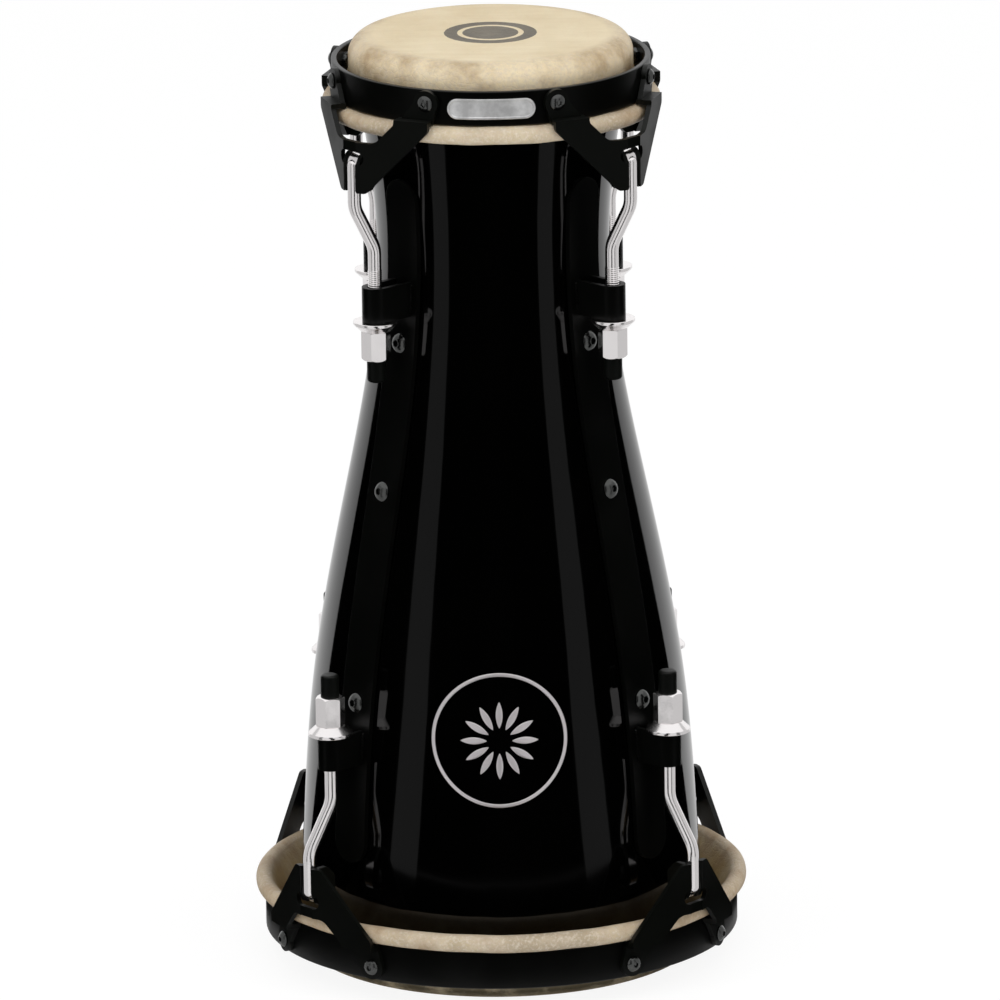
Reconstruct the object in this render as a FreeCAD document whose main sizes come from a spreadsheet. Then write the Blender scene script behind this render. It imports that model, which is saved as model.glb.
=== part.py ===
import FreeCAD, Part
import os
from math import acos, atan2, cos, degrees, pi, radians, sin, sqrt, tan

# Bata drum of the rod-tuned kind, standing on its larger head. Millimetres and degrees.
# The drum's axis is +Z, the larger head's face lies at z = 0 and the front looks along -Y.
Vector = FreeCAD.Vector
UP = Vector(0, 0, 1)
ORIGIN = Vector(0, 0, 0)

SIZES = {
    # shell: outer radii of the hourglass, at heights above the foot and depths below the top head
    "total_height": 570.0,
    "shell_wall": 6.0,
    "foot_edge_radius": 124.3,
    "foot_radius": 120.6,
    "foot_height": 70.0,
    "flank_radius": 113.4,
    "flank_height": 165.0,
    "cone_radius": 90.8,
    "cone_depth": 278.5,
    "neck_radius": 76.4,
    "neck_depth": 203.4,
    "waist_radius": 70.0,
    "waist_depth": 133.0,
    "mouth_edge_radius": 84.2,
    "edge_round": 10.5,
    "edge_ring_width": 15.0,
    "edge_ring_depth": 22.0,
    # skin heads
    "skin_thickness": 1.5,
    "collar_round": 5.0,
    "collar_straight": 8.0,
    "flesh_wire_radius": 3.9,
    "top_flesh_radius": 96.3,
    "top_flesh_depth": 40.3,
    "bottom_flesh_radius": 144.3,
    "bottom_flesh_depth": 42.6,
    "tuck_angle": 150.0,
    # hoops
    "hoop_gap": 0.3,
    "hoop_thickness": 3.5,
    "top_hoop_radius": 96.0,
    "top_hoop_width": 21.0,
    "bottom_hoop_radius": 144.1,
    "bottom_hoop_width": 23.0,
    "hoop_edge_round": 0.8,
    # V brackets of bent strap
    "lug_azimuth": 48.2,
    "top_spread_angle": 24.85,
    "bottom_spread_angle": 15.75,
    "strap_width": 15.5,
    "strap_thickness": 3.0,
    "strap_step": 6.5,
    "strap_lean": 7.0,
    "shelf_width": 22.0,
    "ear_gap": 8.6,
    "ear_reach": 15.5,
    "ear_top": 8.0,
    "ear_margin": 6.8,
    "ear_tip_width": 6.0,
    "relief_start": 1.5,
    "relief_half_width": 10.0,
    "web_offset": 9.6,
    "web_height": 6.0,
    "crotch_round": 9.0,
    "tip_round": 4.0,
    # hoop screws and bracket pins
    "screw_radius": 2.5,
    "screw_head_radius": 4.8,
    "screw_head_height": 3.2,
    "screw_nut_flats": 8.0,
    "screw_nut_height": 2.7,
    "pin_radius": 3.0,
    "pin_head_radius": 4.3,
    "pin_head_height": 3.8,
    "hole_clearance": 0.15,
    # tuning rods
    "rod_radius": 4.0,
    "eye_radius": 8.6,
    "eye_offset": 6.8,
    "eye_width": 8.0,
    "top_pin_depth": 63.0,
    "bottom_pin_depth": 64.5,
    "top_rod_outer": 110.4,
    "top_rod_inner": 95.1,
    "top_bend_start": 26.0,
    "top_bend_end": 53.0,
    "bottom_rod_outer": 154.5,
    "bottom_rod_inner": 136.2,
    "bottom_bend_start": 24.0,
    "bottom_bend_end": 52.0,
    "rod_bend_radius": 16.0,
    # lugs, washers, nuts and caps, counted from each head's face
    "top_lug_depth": 140.0,
    "bottom_lug_depth": 138.0,
    "lug_height": 21.0,
    "top_lug_reach": 24.0,
    "bottom_lug_reach": 22.0,
    "lug_inner_radius": 5.0,
    "lug_thickness": 3.0,
    "washer_radius": 13.5,
    "washer_hole_radius": 4.6,
    "washer_rim": 1.8,
    "washer_height": 6.4,
    "washer_nose_radius": 8.6,
    "nut_flats": 15.5,
    "nut_length": 18.0,
    "nut_turned_radius": 9.3,
    "nut_round": 3.2,
    "thread_clearance": 0.06,
    "cap_radius": 5.6,
    "cap_bore_radius": 4.3,
    "cap_length": 13.5,
    "cap_end_wall": 1.6,
    "cap_round": 2.0,
    "rod_end_gap": 0.4,
    # side plates, which run past the lugs by their tails, and their bolts
    "plate_width": 26.0,
    "plate_thickness": 3.0,
    "plate_tail": 62.0,
    "bolt_radius": 3.0,
    "bolt_head_radius": 6.0,
    "bolt_head_height": 4.0,
    "bolt_hole_radius": 3.2,
    "upper_bolt_depth": 179.0,
    "middle_bolt_depth": 268.6,
    "lower_bolt_height": 174.2,
    "inside_washer_radius": 7.0,
    "inside_washer_thickness": 1.6,
    "inside_nut_flats": 10.0,
    "inside_nut_height": 5.0,
    "inside_seat_gap": 0.2,
    "bolt_tail": 1.0,
    # blank plate on the front of the top hoop
    "badge_width": 53.0,
    "badge_height": 12.5,
    "badge_thickness": 1.0,
}

doc = FreeCAD.newDocument("bata_drum")
sheet = doc.addObject("Spreadsheet::Sheet", "Sizes")
for row, (alias, value) in enumerate(SIZES.items(), start=1):
    sheet.set(f"A{row}", alias)
    sheet.set(f"B{row}", str(value))
    sheet.setAlias(f"B{row}", alias)
doc.recompute()


def size(alias):
    """One driving dimension, read back from the sheet."""
    return float(sheet.get(alias))


def bind(feature, **expressions):
    """Tie properties of a feature to expressions; in a property's name __ stands for a dot."""
    for name, expression in expressions.items():
        for alias in sorted(SIZES, key=len, reverse=True):
            expression = expression.replace(f"[{alias}]", f"Sizes.{alias}")
        feature.setExpression(name.replace("__", "."), expression)
    return feature


def solid_feature(name, shape, placement=None):
    """A finished shape as an object of the document."""
    feature = doc.addObject("Part::Feature", name)
    feature.Shape = shape
    if placement is not None:
        feature.Placement = placement.multiply(shape.Placement)
    return feature


def cylinder(name, radius, height, base="0"):
    """A cylinder on the drum's axis, its sizes bound to the sheet."""
    feature = doc.addObject("Part::Cylinder", name)
    return bind(feature, Radius=radius, Height=height, Placement__Base__z=base)


def cut(name, base, tool):
    feature = doc.addObject("Part::Cut", name)
    feature.Base = base
    feature.Tool = tool
    return feature


def revolution(name, profile):
    """A closed profile in the XZ plane turned once about the drum's axis."""
    feature = doc.addObject("Part::Revolution", name)
    feature.Source = profile
    feature.Axis = UP
    feature.Base = ORIGIN
    feature.Angle = 360.0
    feature.Solid = True
    return feature


def around(azimuth):
    """Turns a piece made at azimuth 0, on the side of -Y, to its azimuth about the drum."""
    return FreeCAD.Placement(ORIGIN, FreeCAD.Rotation(UP, azimuth))


def cylinder_between(start, end, radius):
    along = end - start
    return Part.makeCylinder(radius, along.Length, start, along)


def hexagon_prism(base, direction, flats, height):
    """A hexagon of the given width across flats, pushed out along direction from base."""
    corner = flats / 2 / cos(pi / 6)
    points = [Vector(corner * cos(k * pi / 3), corner * sin(k * pi / 3), 0) for k in range(7)]
    prism = Part.Face(Part.makePolygon(points)).extrude(Vector(0, 0, height))
    prism.Placement = FreeCAD.Placement(base, FreeCAD.Rotation(UP, direction))
    return prism


def dome(base, direction, radius, height):
    """A low domed head: the cap of a sphere on a short round land."""
    land = height / 4
    rise = height - land
    ball = (radius * radius + rise * rise) / (2 * rise)
    points = (
        Vector(0, 0, 0),
        Vector(radius, 0, 0),
        Vector(radius, 0, land),
        Vector(0, 0, height),
    )
    middle = Vector(radius / 2, 0, land + sqrt(ball * ball - radius * radius / 4) - (ball - rise))
    edges = [
        Part.makeLine(points[0], points[1]),
        Part.makeLine(points[1], points[2]),
        Part.Arc(points[2], middle, points[3]).toShape(),
        Part.makeLine(points[3], points[0]),
    ]
    head = Part.Face(Part.Wire(edges)).revolve(ORIGIN, UP, 360)
    head.Placement = FreeCAD.Placement(base, FreeCAD.Rotation(UP, direction))
    return head


height = size("total_height")
skin = size("skin_thickness")
wall = size("shell_wall")
lug_azimuths = [
    size("lug_azimuth"),
    180 - size("lug_azimuth"),
    180 + size("lug_azimuth"),
    360 - size("lug_azimuth"),
]


# Shell: one hollow moulding with a thicker rounded edge under each head.
def outline(offset):
    """The hourglass line in the XZ plane, a smooth curve through its named radii and heights."""
    edge_depth = skin + size("edge_round")
    stations = [
        (size("foot_edge_radius"), edge_depth),
        (size("foot_radius"), size("foot_height")),
        (size("flank_radius"), size("flank_height")),
        (size("cone_radius"), height - size("cone_depth")),
        (size("neck_radius"), height - size("neck_depth")),
        (size("waist_radius"), height - size("waist_depth")),
        (size("mouth_edge_radius"), height - edge_depth),
    ]
    curve = Part.BSplineCurve()
    curve.interpolate([Vector(radius + offset, 0, z) for radius, z in stations])
    return curve


def on_outline(curve, z):
    """The curve's radius and slope, dr over dz, at height z."""
    level = Part.Line(Vector(0, 0, z), Vector(1, 0, z))
    point = curve.intersect(level)[0]
    along = curve.tangent(curve.parameter(Vector(point.X, 0, point.Z)))[0]
    return point.X, along.x / along.z


def quarter_arc(centre_r, centre_z, radius, toward_z):
    """An arc from the outer side of a rounded edge to its face."""
    diagonal = radius * sqrt(0.5)
    return Part.Arc(
        Vector(centre_r + radius, 0, centre_z),
        Vector(centre_r + diagonal, 0, centre_z + toward_z * diagonal),
        Vector(centre_r, 0, centre_z + toward_z * radius),
    ).toShape()


def shell_profile():
    outer = outline(0)
    inner = outline(-wall)
    rounding = size("edge_round")
    ring_depth = skin + size("edge_ring_depth")
    low, high = ring_depth, height - ring_depth
    low_r, high_r = on_outline(inner, low)[0], on_outline(inner, high)[0]
    foot_land = size("foot_edge_radius") - size("edge_ring_width")
    mouth_land = size("mouth_edge_radius") - size("edge_ring_width")
    foot_centre = size("foot_edge_radius") - rounding
    mouth_centre = size("mouth_edge_radius") - rounding
    inner_edge = Part.Edge(
        inner,
        inner.parameter(Vector(low_r, 0, low)),
        inner.parameter(Vector(high_r, 0, high)),
    )
    corners = [
        Vector(mouth_centre, 0, height - skin),
        Vector(mouth_land, 0, height - skin),
        Vector(mouth_land, 0, high + size("edge_ring_width") / 2),
        Vector(high_r, 0, high),
    ]
    foot_corners = [
        Vector(low_r, 0, low),
        Vector(foot_land, 0, low - size("edge_ring_width") / 2),
        Vector(foot_land, 0, skin),
        Vector(foot_centre, 0, skin),
    ]
    edges = [outer.toShape(), quarter_arc(mouth_centre, height - skin - rounding, rounding, 1)]
    edges += Part.makePolygon(corners).Edges + [inner_edge]
    edges += Part.makePolygon(foot_corners).Edges
    edges.append(quarter_arc(foot_centre, skin + rounding, rounding, -1))
    return Part.Face(Part.Wire(Part.sortEdges(edges)[0]))


# Skin heads: one hide each, flat over the drum's edge, down its side and round the flesh hoop.
def strip(steps, thickness):
    """A face of even thickness along lines and arcs that run on smoothly in the XZ plane.

    A line is (start, end). An arc is (centre, radius, first angle, last angle) in degrees.
    """
    sides = {}
    for side in (thickness / 2, -thickness / 2):
        edges = []
        for step in steps:
            if len(step) == 2:
                start, end = step
                along = (end - start).normalize()
                shift = Vector(-along.z, 0, along.x) * side
                edges.append(Part.makeLine(start + shift, end + shift))
            else:
                centre, radius, first, last = step
                grown = radius - side if last > first else radius + side
                angles = (first, (first + last) / 2, last)
                points = [
                    centre + Vector(cos(radians(angle)), 0, sin(radians(angle))) * grown
                    for angle in angles
                ]
                edges.append(Part.Arc(*points).toShape())
        sides[side] = Part.Wire(edges)
    first, second = sides.values()
    ends = [
        Part.makeLine(first.OrderedVertexes[k].Point, second.OrderedVertexes[k].Point)
        for k in (0, -1)
    ]
    loop = Part.sortEdges(first.Edges + second.Edges + ends)[0]
    return Part.Face(Part.Wire(loop))


def head_profile(edge_radius, flesh_radius, flesh_depth):
    """The hide in section, its face at z = 0 and the drum below it.

    It runs flat to the rounded edge, straight down, out along a cone and round the flesh hoop.
    """
    half = skin / 2
    rounding = size("edge_round")
    turn = size("collar_round")
    edge_centre = Vector(edge_radius - rounding, 0, -skin - rounding)
    wall_r = edge_radius + half
    wall_end = Vector(wall_r, 0, -skin - rounding - size("collar_straight"))
    ring = Vector(flesh_radius, 0, -flesh_depth)
    wrap = size("flesh_wire_radius") + half
    # the cone leaves the wall's end on an arc and meets the ring's wrap from its inner side
    turn_centre = wall_end + Vector(turn, 0, 0)
    gap = ring - turn_centre
    heading = degrees(atan2(gap.z, gap.x))
    lean = degrees(acos((turn - wrap) / gap.Length))
    touch = heading - lean
    along = Vector(cos(radians(touch)), 0, sin(radians(touch)))
    return strip(
        [
            (Vector(0, 0, -half), Vector(edge_centre.x, 0, -half)),
            (edge_centre, rounding + half, 90, 0),
            (Vector(wall_r, 0, edge_centre.z), wall_end),
            (turn_centre, turn, 180, touch + 360),
            (turn_centre + along * turn, ring + along * wrap),
            (ring, wrap, touch + 360, size("tuck_angle") + 360),
        ],
        skin,
    )


def add_heads():
    for end in ("top", "bottom"):
        edge = size("mouth_edge_radius" if end == "top" else "foot_edge_radius")
        ring_r = size(f"{end}_flesh_radius")
        ring_depth = size(f"{end}_flesh_depth")
        profile = head_profile(edge, ring_r, ring_depth)
        if end == "top":
            profile.translate(Vector(0, 0, height))
        else:
            profile = profile.mirror(ORIGIN, UP)
        section = solid_feature(f"{end}_skin_section", profile)
        revolution(f"{end}_skin", section)
        ring = doc.addObject("Part::Torus", f"{end}_flesh_hoop")
        level = f"[total_height] - [{end}_flesh_depth]" if end == "top" else f"[{end}_flesh_depth]"
        bind(
            ring,
            Radius1=f"[{end}_flesh_radius]",
            Radius2="[flesh_wire_radius]",
            Placement__Base__z=level,
        )


# Hoops: flat steel rings that bear on the wrapped flesh hoops and carry the V brackets.
def hoop_levels(end):
    """Depths of a hoop's two edges below the face of its head: the inner edge first."""
    wrap_top = size(f"{end}_flesh_depth") - size("flesh_wire_radius") - skin
    inner = wrap_top - size("hoop_gap")
    return inner, inner - size(f"{end}_hoop_width")


def screw_depth(end):
    return sum(hoop_levels(end)) / 2 - size(f"{end}_hoop_width") / 8


def at_end(end, shape):
    """Puts a shape made below a face at z = 0 at its own end of the drum."""
    if end == "top":
        moved = shape.copy()
        moved.translate(Vector(0, 0, height))
        return moved
    return shape.mirror(ORIGIN, UP)


def add_hoop(end):
    inner_depth = f"([{end}_flesh_depth] - [flesh_wire_radius] - [skin_thickness] - [hoop_gap])"
    base = f"[total_height] - {inner_depth}"
    if end == "bottom":
        base = f"{inner_depth} - [bottom_hoop_width]"
    radius = f"[{end}_hoop_radius]"
    width = f"[{end}_hoop_width]"
    outside = cylinder(f"{end}_hoop_outside", radius, width, base)
    inside = cylinder(f"{end}_hoop_inside", f"{radius} - [hoop_thickness]", width, base)
    ring = cut(f"{end}_hoop_ring", outside, inside)
    doc.recompute()
    rounded = doc.addObject("Part::Fillet", f"{end}_hoop_rounded")
    rounded.Base = ring
    rims = [
        index
        for index, edge in enumerate(ring.Shape.Edges, start=1)
        if isinstance(edge.Curve, Part.Circle)
    ]
    rounded.Edges = [(index, size("hoop_edge_round"), size("hoop_edge_round")) for index in rims]
    holes = []
    for azimuth in screw_azimuths(end):
        hole = cylinder_between(
            Vector(0, -size(f"{end}_hoop_radius") / 2, -screw_depth(end)),
            Vector(0, -size(f"{end}_hoop_radius") * 2, -screw_depth(end)),
            size("screw_radius") + size("hole_clearance"),
        )
        hole = at_end(end, hole)
        hole.Placement = around(azimuth).multiply(hole.Placement)
        holes.append(hole)
    drilling = solid_feature(f"{end}_hoop_drilling", Part.makeCompound(holes))
    cut(f"{end}_hoop", rounded, drilling)


def screw_azimuths(end):
    spread = size(f"{end}_spread_angle")
    return [azimuth + side * spread for azimuth in lug_azimuths for side in (-1, 1)]


# V brackets: one bent strap, screwed to the hoop on both sides of the rod's eye.
def rounded_run(corners, closed):
    """Edges along straight runs, with a tangent arc at each corner (point, radius) that has one."""
    joints = []
    for index, (corner, radius) in enumerate(corners):
        if not radius:
            joints.append((corner, None, corner))
            continue
        arriving = (corner - corners[index - 1][0]).normalize()
        leaving = (corners[(index + 1) % len(corners)][0] - corner).normalize()
        turn = arriving.getAngle(leaving)
        inset = radius * tan(turn / 2)
        towards = (leaving - arriving).normalize()
        middle = corner + towards * (radius / cos(turn / 2) - radius)
        joints.append((corner - arriving * inset, middle, corner + leaving * inset))
    arcs = [Part.Arc(*joint).toShape() for joint in joints if joint[1]]
    ahead = joints[1:] + (joints[:1] if closed else [])
    lines = [Part.makeLine(here[2], there[0]) for here, there in zip(joints, ahead)]
    return Part.sortEdges(arcs + lines)[0]


def plate(outline_points, origin, right, up, push):
    """A flat plate: an outline in the plane of right and up, pushed along a third direction.

    Each point of the outline is (x, y), or (x, y, radius) where the corner is rounded.
    """
    corners = [
        (origin + right * point[0] + up * point[1], point[2] if len(point) > 2 else 0)
        for point in outline_points
    ]
    return Part.Face(Part.Wire(rounded_run(corners, True))).extrude(push)


def pin_radius_from_axis(end):
    return size(f"{end}_rod_outer") - size("eye_offset")


def bracket_half(end):
    """The half on the side of +X of the bracket at azimuth 0, below a head's face at z = 0."""
    spread = radians(size(f"{end}_spread_angle"))
    thick = size("strap_thickness")
    step = size("strap_step")
    half = size("strap_width") / 2
    gap_half = size("ear_gap") / 2
    inward = Vector(-cos(spread), -sin(spread), 0)
    outward = Vector(sin(spread), -cos(spread), 0)
    shelf_z = -hoop_levels(end)[0]
    bolt_z = -screw_depth(end)
    pin_z = -size(f"{end}_pin_depth")
    seat = outward * size(f"{end}_hoop_radius")
    shelf_left = size("strap_lean") - size("shelf_width") / 2
    shelf_right = size("strap_lean") + size("shelf_width") / 2
    # tab: a plate on the hoop, rounded about the screw
    tab_points = [
        (shelf_left, shelf_z),
        (shelf_right, shelf_z),
        (half, bolt_z),
        (-half, bolt_z),
    ]
    tab = plate(tab_points, seat, inward, UP, outward * thick)
    tab_end = cylinder_between(seat + UP * bolt_z, seat + outward * thick + UP * bolt_z, half)
    # shelf: the strap steps out over the wrapped flesh hoop
    shelf_points = [
        (shelf_left, 0),
        (shelf_right, 0),
        (shelf_right, step + thick),
        (shelf_left, step + thick),
    ]
    shelf = plate(shelf_points, seat + UP * shelf_z, inward, outward, UP * thick)
    # arm: down and across to the ear, one step outside the tab
    arm_seat = seat + outward * step
    reach = (arm_seat.x - gap_half) / cos(spread)
    tip_z = pin_z - size("ear_reach")
    crotch_z = pin_z + size("web_offset") + size("web_height")
    arm_points = [
        (shelf_left, shelf_z + thick),
        (shelf_right, shelf_z + thick),
        (shelf_right, shelf_z, size("tip_round")),
        (shelf_right + shelf_z - crotch_z, crotch_z, size("crotch_round")),
        (reach, crotch_z),
        (reach, tip_z),
        (reach - size("ear_tip_width"), tip_z, size("tip_round")),
        (shelf_left, shelf_z - thick, size("tip_round")),
    ]
    arm = plate(arm_points, arm_seat, inward, UP, outward * thick)
    # relief: a slot across the fold, between the ear and the web
    slot_r = (size("web_offset") - size("relief_start")) / 2
    slot_z = pin_z + size("web_offset") - slot_r
    slot_end = Vector(size("relief_half_width") - slot_r, 0, slot_z)
    beyond = Vector(0, -2 * size(f"{end}_hoop_radius"), 0)
    slot = cylinder_between(slot_end, slot_end + beyond, slot_r)
    slot_points = [
        (0, -slot_r),
        (slot_end.x, -slot_r),
        (slot_end.x, slot_r),
        (0, slot_r),
    ]
    slot = slot.fuse(plate(slot_points, Vector(0, 0, slot_z), Vector(1, 0, 0), UP, beyond))
    # ear: a plate beside the rod's eye, square to the pin
    fold = gap_half + thick
    ear_in = pin_radius_from_axis(end) - size("ear_margin")
    ear_out = (arm_seat + outward * thick).dot(outward) / cos(spread) - fold * tan(spread)
    corner = size("ear_tip_width")
    ear_points = [
        (ear_in, tip_z + corner, size("tip_round")),
        (ear_in + corner, tip_z, size("tip_round")),
        (ear_out, tip_z),
        (ear_out, pin_z + size("relief_start")),
        (ear_out - thick, pin_z + size("ear_top"), size("tip_round")),
        (ear_in, pin_z + size("ear_top"), size("tip_round")),
    ]
    ear = plate(ear_points, Vector(gap_half, 0, 0), Vector(0, -1, 0), UP, Vector(thick, 0, 0))
    # web: joins the two arms beyond the rod's eye
    web_points = [
        (0, pin_z + size("web_offset")),
        (fold, pin_z + size("web_offset")),
        (fold, crotch_z),
        (0, crotch_z),
    ]
    web = plate(web_points, Vector(0, -ear_out, 0), Vector(1, 0, 0), UP, Vector(0, thick, 0))
    strap = tab.fuse([tab_end, shelf, arm.cut(slot), ear, web])
    screw_hole = cylinder_between(
        seat - outward * thick + UP * bolt_z,
        seat + outward * thick * 2 + UP * bolt_z,
        size("screw_radius") + size("hole_clearance"),
    )
    pin_hole = cylinder_between(
        Vector(0, -pin_radius_from_axis(end), pin_z),
        Vector(gap_half + thick * 2, -pin_radius_from_axis(end), pin_z),
        size("pin_radius") + size("hole_clearance"),
    )
    return strap.cut([screw_hole, pin_hole])


def bracket(end):
    half = bracket_half(end)
    return half.fuse(half.mirror(ORIGIN, Vector(1, 0, 0))).removeSplitter()


# Screws that hold a bracket on its hoop: dome head outside, thin nut inside.
def hoop_screw(end):
    depth = screw_depth(end)
    hoop_r = size(f"{end}_hoop_radius")
    head_seat = Vector(0, -hoop_r - size("strap_thickness"), -depth)
    nut_face = sqrt((hoop_r - size("hoop_thickness")) ** 2 - (size("screw_nut_flats") / 2) ** 2)
    nut_seat = Vector(0, -nut_face, -depth)
    nut_height = size("screw_nut_height")
    inward = Vector(0, 1, 0)
    shank = cylinder_between(head_seat, nut_seat + inward * nut_height, size("screw_radius"))
    head = dome(head_seat, -inward, size("screw_head_radius"), size("screw_head_height"))
    nut = hexagon_prism(nut_seat, inward, size("screw_nut_flats"), nut_height)
    return [head.fuse(shank), nut.cut(shank)]


# Pins through the brackets' ears and the rods' eyes, a dome head on one side, a cap nut on the other.
def bracket_pin(end):
    centre = Vector(0, -pin_radius_from_axis(end), -size(f"{end}_pin_depth"))
    side = Vector(1, 0, 0)
    seat = size("ear_gap") / 2 + size("strap_thickness")
    shank_end = centre - side * (seat + size("pin_head_height") / 2)
    shank = cylinder_between(centre + side * seat, shank_end, size("pin_radius"))
    head = dome(centre + side * seat, side, size("pin_head_radius"), size("pin_head_height"))
    nut = dome(centre - side * seat, -side, size("pin_head_radius"), size("pin_head_height"))
    return [head.fuse(shank), nut.cut(shank)]


# Tuning rods: an eye round the pin, then a joggle from outside the hoop in to the lug.
def rod_end_depth(end):
    below_lug = size("washer_height") + size("nut_length") + size("cap_length")
    inside_cap = below_lug - size("cap_end_wall") - size("rod_end_gap")
    return size(f"{end}_lug_depth") + size("lug_height") + inside_cap


def rod(end):
    outer, inner = size(f"{end}_rod_outer"), size(f"{end}_rod_inner")
    pin_depth = size(f"{end}_pin_depth")
    points = [
        Vector(0, -outer, -pin_depth),
        Vector(0, -outer, -pin_depth - size(f"{end}_bend_start")),
        Vector(0, -inner, -pin_depth - size(f"{end}_bend_end")),
        Vector(0, -inner, -rod_end_depth(end)),
    ]
    bend = size("rod_bend_radius")
    path = Part.Wire(rounded_run(list(zip(points, (0, bend, bend, 0))), False))
    section = Part.Wire(Part.makeCircle(size("rod_radius"), points[0], UP))
    shaft = path.makePipeShell([section], True, False)
    centre = Vector(0, -pin_radius_from_axis(end), -pin_depth)
    side = Vector(size("eye_width") / 2, 0, 0)
    eye = cylinder_between(centre - side, centre + side, size("eye_radius"))
    shoulder = Part.makeSphere(size("rod_radius"), points[0])
    hole_radius = size("pin_radius") + size("hole_clearance")
    hole = cylinder_between(centre - side - side, centre + side + side, hole_radius)
    return shaft.fuse([eye, shoulder]).cut(hole)


# Lugs: a strap bent round each rod, its two legs welded to the side plate.
def lug(end):
    outer = size("lug_inner_radius") + size("lug_thickness")
    inner = size("lug_inner_radius")
    rod_r = size(f"{end}_rod_inner")
    low_z = -size(f"{end}_lug_depth") - size("lug_height")
    centre = Vector(0, -rod_r, low_z)
    tall = size("lug_height")
    reach = size(f"{end}_lug_reach")
    legs = Part.makeBox(outer * 2, reach, tall, Vector(-outer, -rod_r, low_z))
    slot = Part.makeBox(inner * 2, reach, tall, Vector(-inner, -rod_r, low_z))
    bend = Part.makeCylinder(outer, tall, centre)
    bore = Part.makeCylinder(inner, tall, centre)
    strap = legs.fuse(bend).cut([slot, bore])
    return at_end(end, strap).cut(plate_core)


# Side plates: flat bar bent to the shell's outline, rounded at both ends.
def bar_between(offset_in, offset_out, low, high, width):
    """The space between two offsets of the outline, as wide as the plate, at azimuth 0."""
    sides = []
    for offset in (offset_in, offset_out):
        curve = outline(offset)
        ends = [Vector(on_outline(curve, z)[0], 0, z) for z in (low, high)]
        sides.append(Part.Edge(curve, curve.parameter(ends[0]), curve.parameter(ends[1])))
    caps = [
        Part.makeLine(sides[0].valueAt(edge_end), sides[1].valueAt(other_end))
        for edge_end, other_end in zip(sides[0].ParameterRange, sides[1].ParameterRange)
    ]
    face = Part.Face(Part.Wire(Part.sortEdges(sides + caps)[0]))
    bar = face.extrude(Vector(0, width, 0))
    bar.translate(Vector(0, -width / 2, 0))
    bar.rotate(ORIGIN, UP, -90)
    return bar


def plate_ends():
    """Heights of a side plate's two ends."""
    low = size("bottom_lug_depth") - size("plate_tail")
    high = height - size("top_lug_depth") + size("plate_tail")
    return low, high


def side_plate():
    low, high = plate_ends()
    thick, width = size("plate_thickness"), size("plate_width")
    bar = bar_between(0, thick, low, high, width)
    half = width / 2
    depth = 2 * size("foot_edge_radius")
    into = Vector(0, -1, 0)
    stadium = Part.makeBox(width, depth, high - low - width, Vector(-half, -depth, low + half))
    ends = [Part.makeCylinder(half, depth, Vector(0, 0, z), into) for z in (low + half, high - half)]
    plate_body = bar.common(stadium.fuse(ends))
    holes = [
        cylinder_between(seat - normal * wall, seat + normal * wall, size("bolt_hole_radius"))
        for seat, normal in bolt_seats(0)
    ]
    return plate_body.cut(holes)


def bolt_seats(offset):
    """Point on the offset outline and outward normal at each plate bolt, at azimuth 0."""
    seats = []
    heights = (
        height - size("upper_bolt_depth"),
        height - size("middle_bolt_depth"),
        size("lower_bolt_height"),
    )
    for z in heights:
        radius, slope = on_outline(outline(0), z)
        normal = Vector(0, -1, -slope).normalize()
        seats.append((Vector(0, -radius, z) + normal * offset, normal))
    return seats


def plate_bolt(seat, normal):
    """Dome head on the plate, shank through plate and shell, washer and nut inside.

    The washer's rim touches the hollow of the wall, so its middle stands off it by the sag.
    """
    head_seat = seat + normal * size("plate_thickness")
    washer_r = size("inside_washer_radius")
    inner_r = -seat.y - wall
    sag = inner_r - sqrt(inner_r * inner_r - washer_r * washer_r)
    washer_seat = seat - normal * (wall + sag + size("inside_seat_gap"))
    washer_face = washer_seat - normal * size("inside_washer_thickness")
    nut_face = washer_face - normal * size("inside_nut_height")
    shank_end = nut_face - normal * size("bolt_tail")
    shank = cylinder_between(head_seat, shank_end, size("bolt_radius"))
    head = dome(head_seat, normal, size("bolt_head_radius"), size("bolt_head_height"))
    washer = cylinder_between(washer_face, washer_seat, washer_r).cut(shank)
    nut = hexagon_prism(washer_face, -normal, size("inside_nut_flats"), size("inside_nut_height"))
    return head.fuse(shank), washer, nut.cut(shank)


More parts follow.
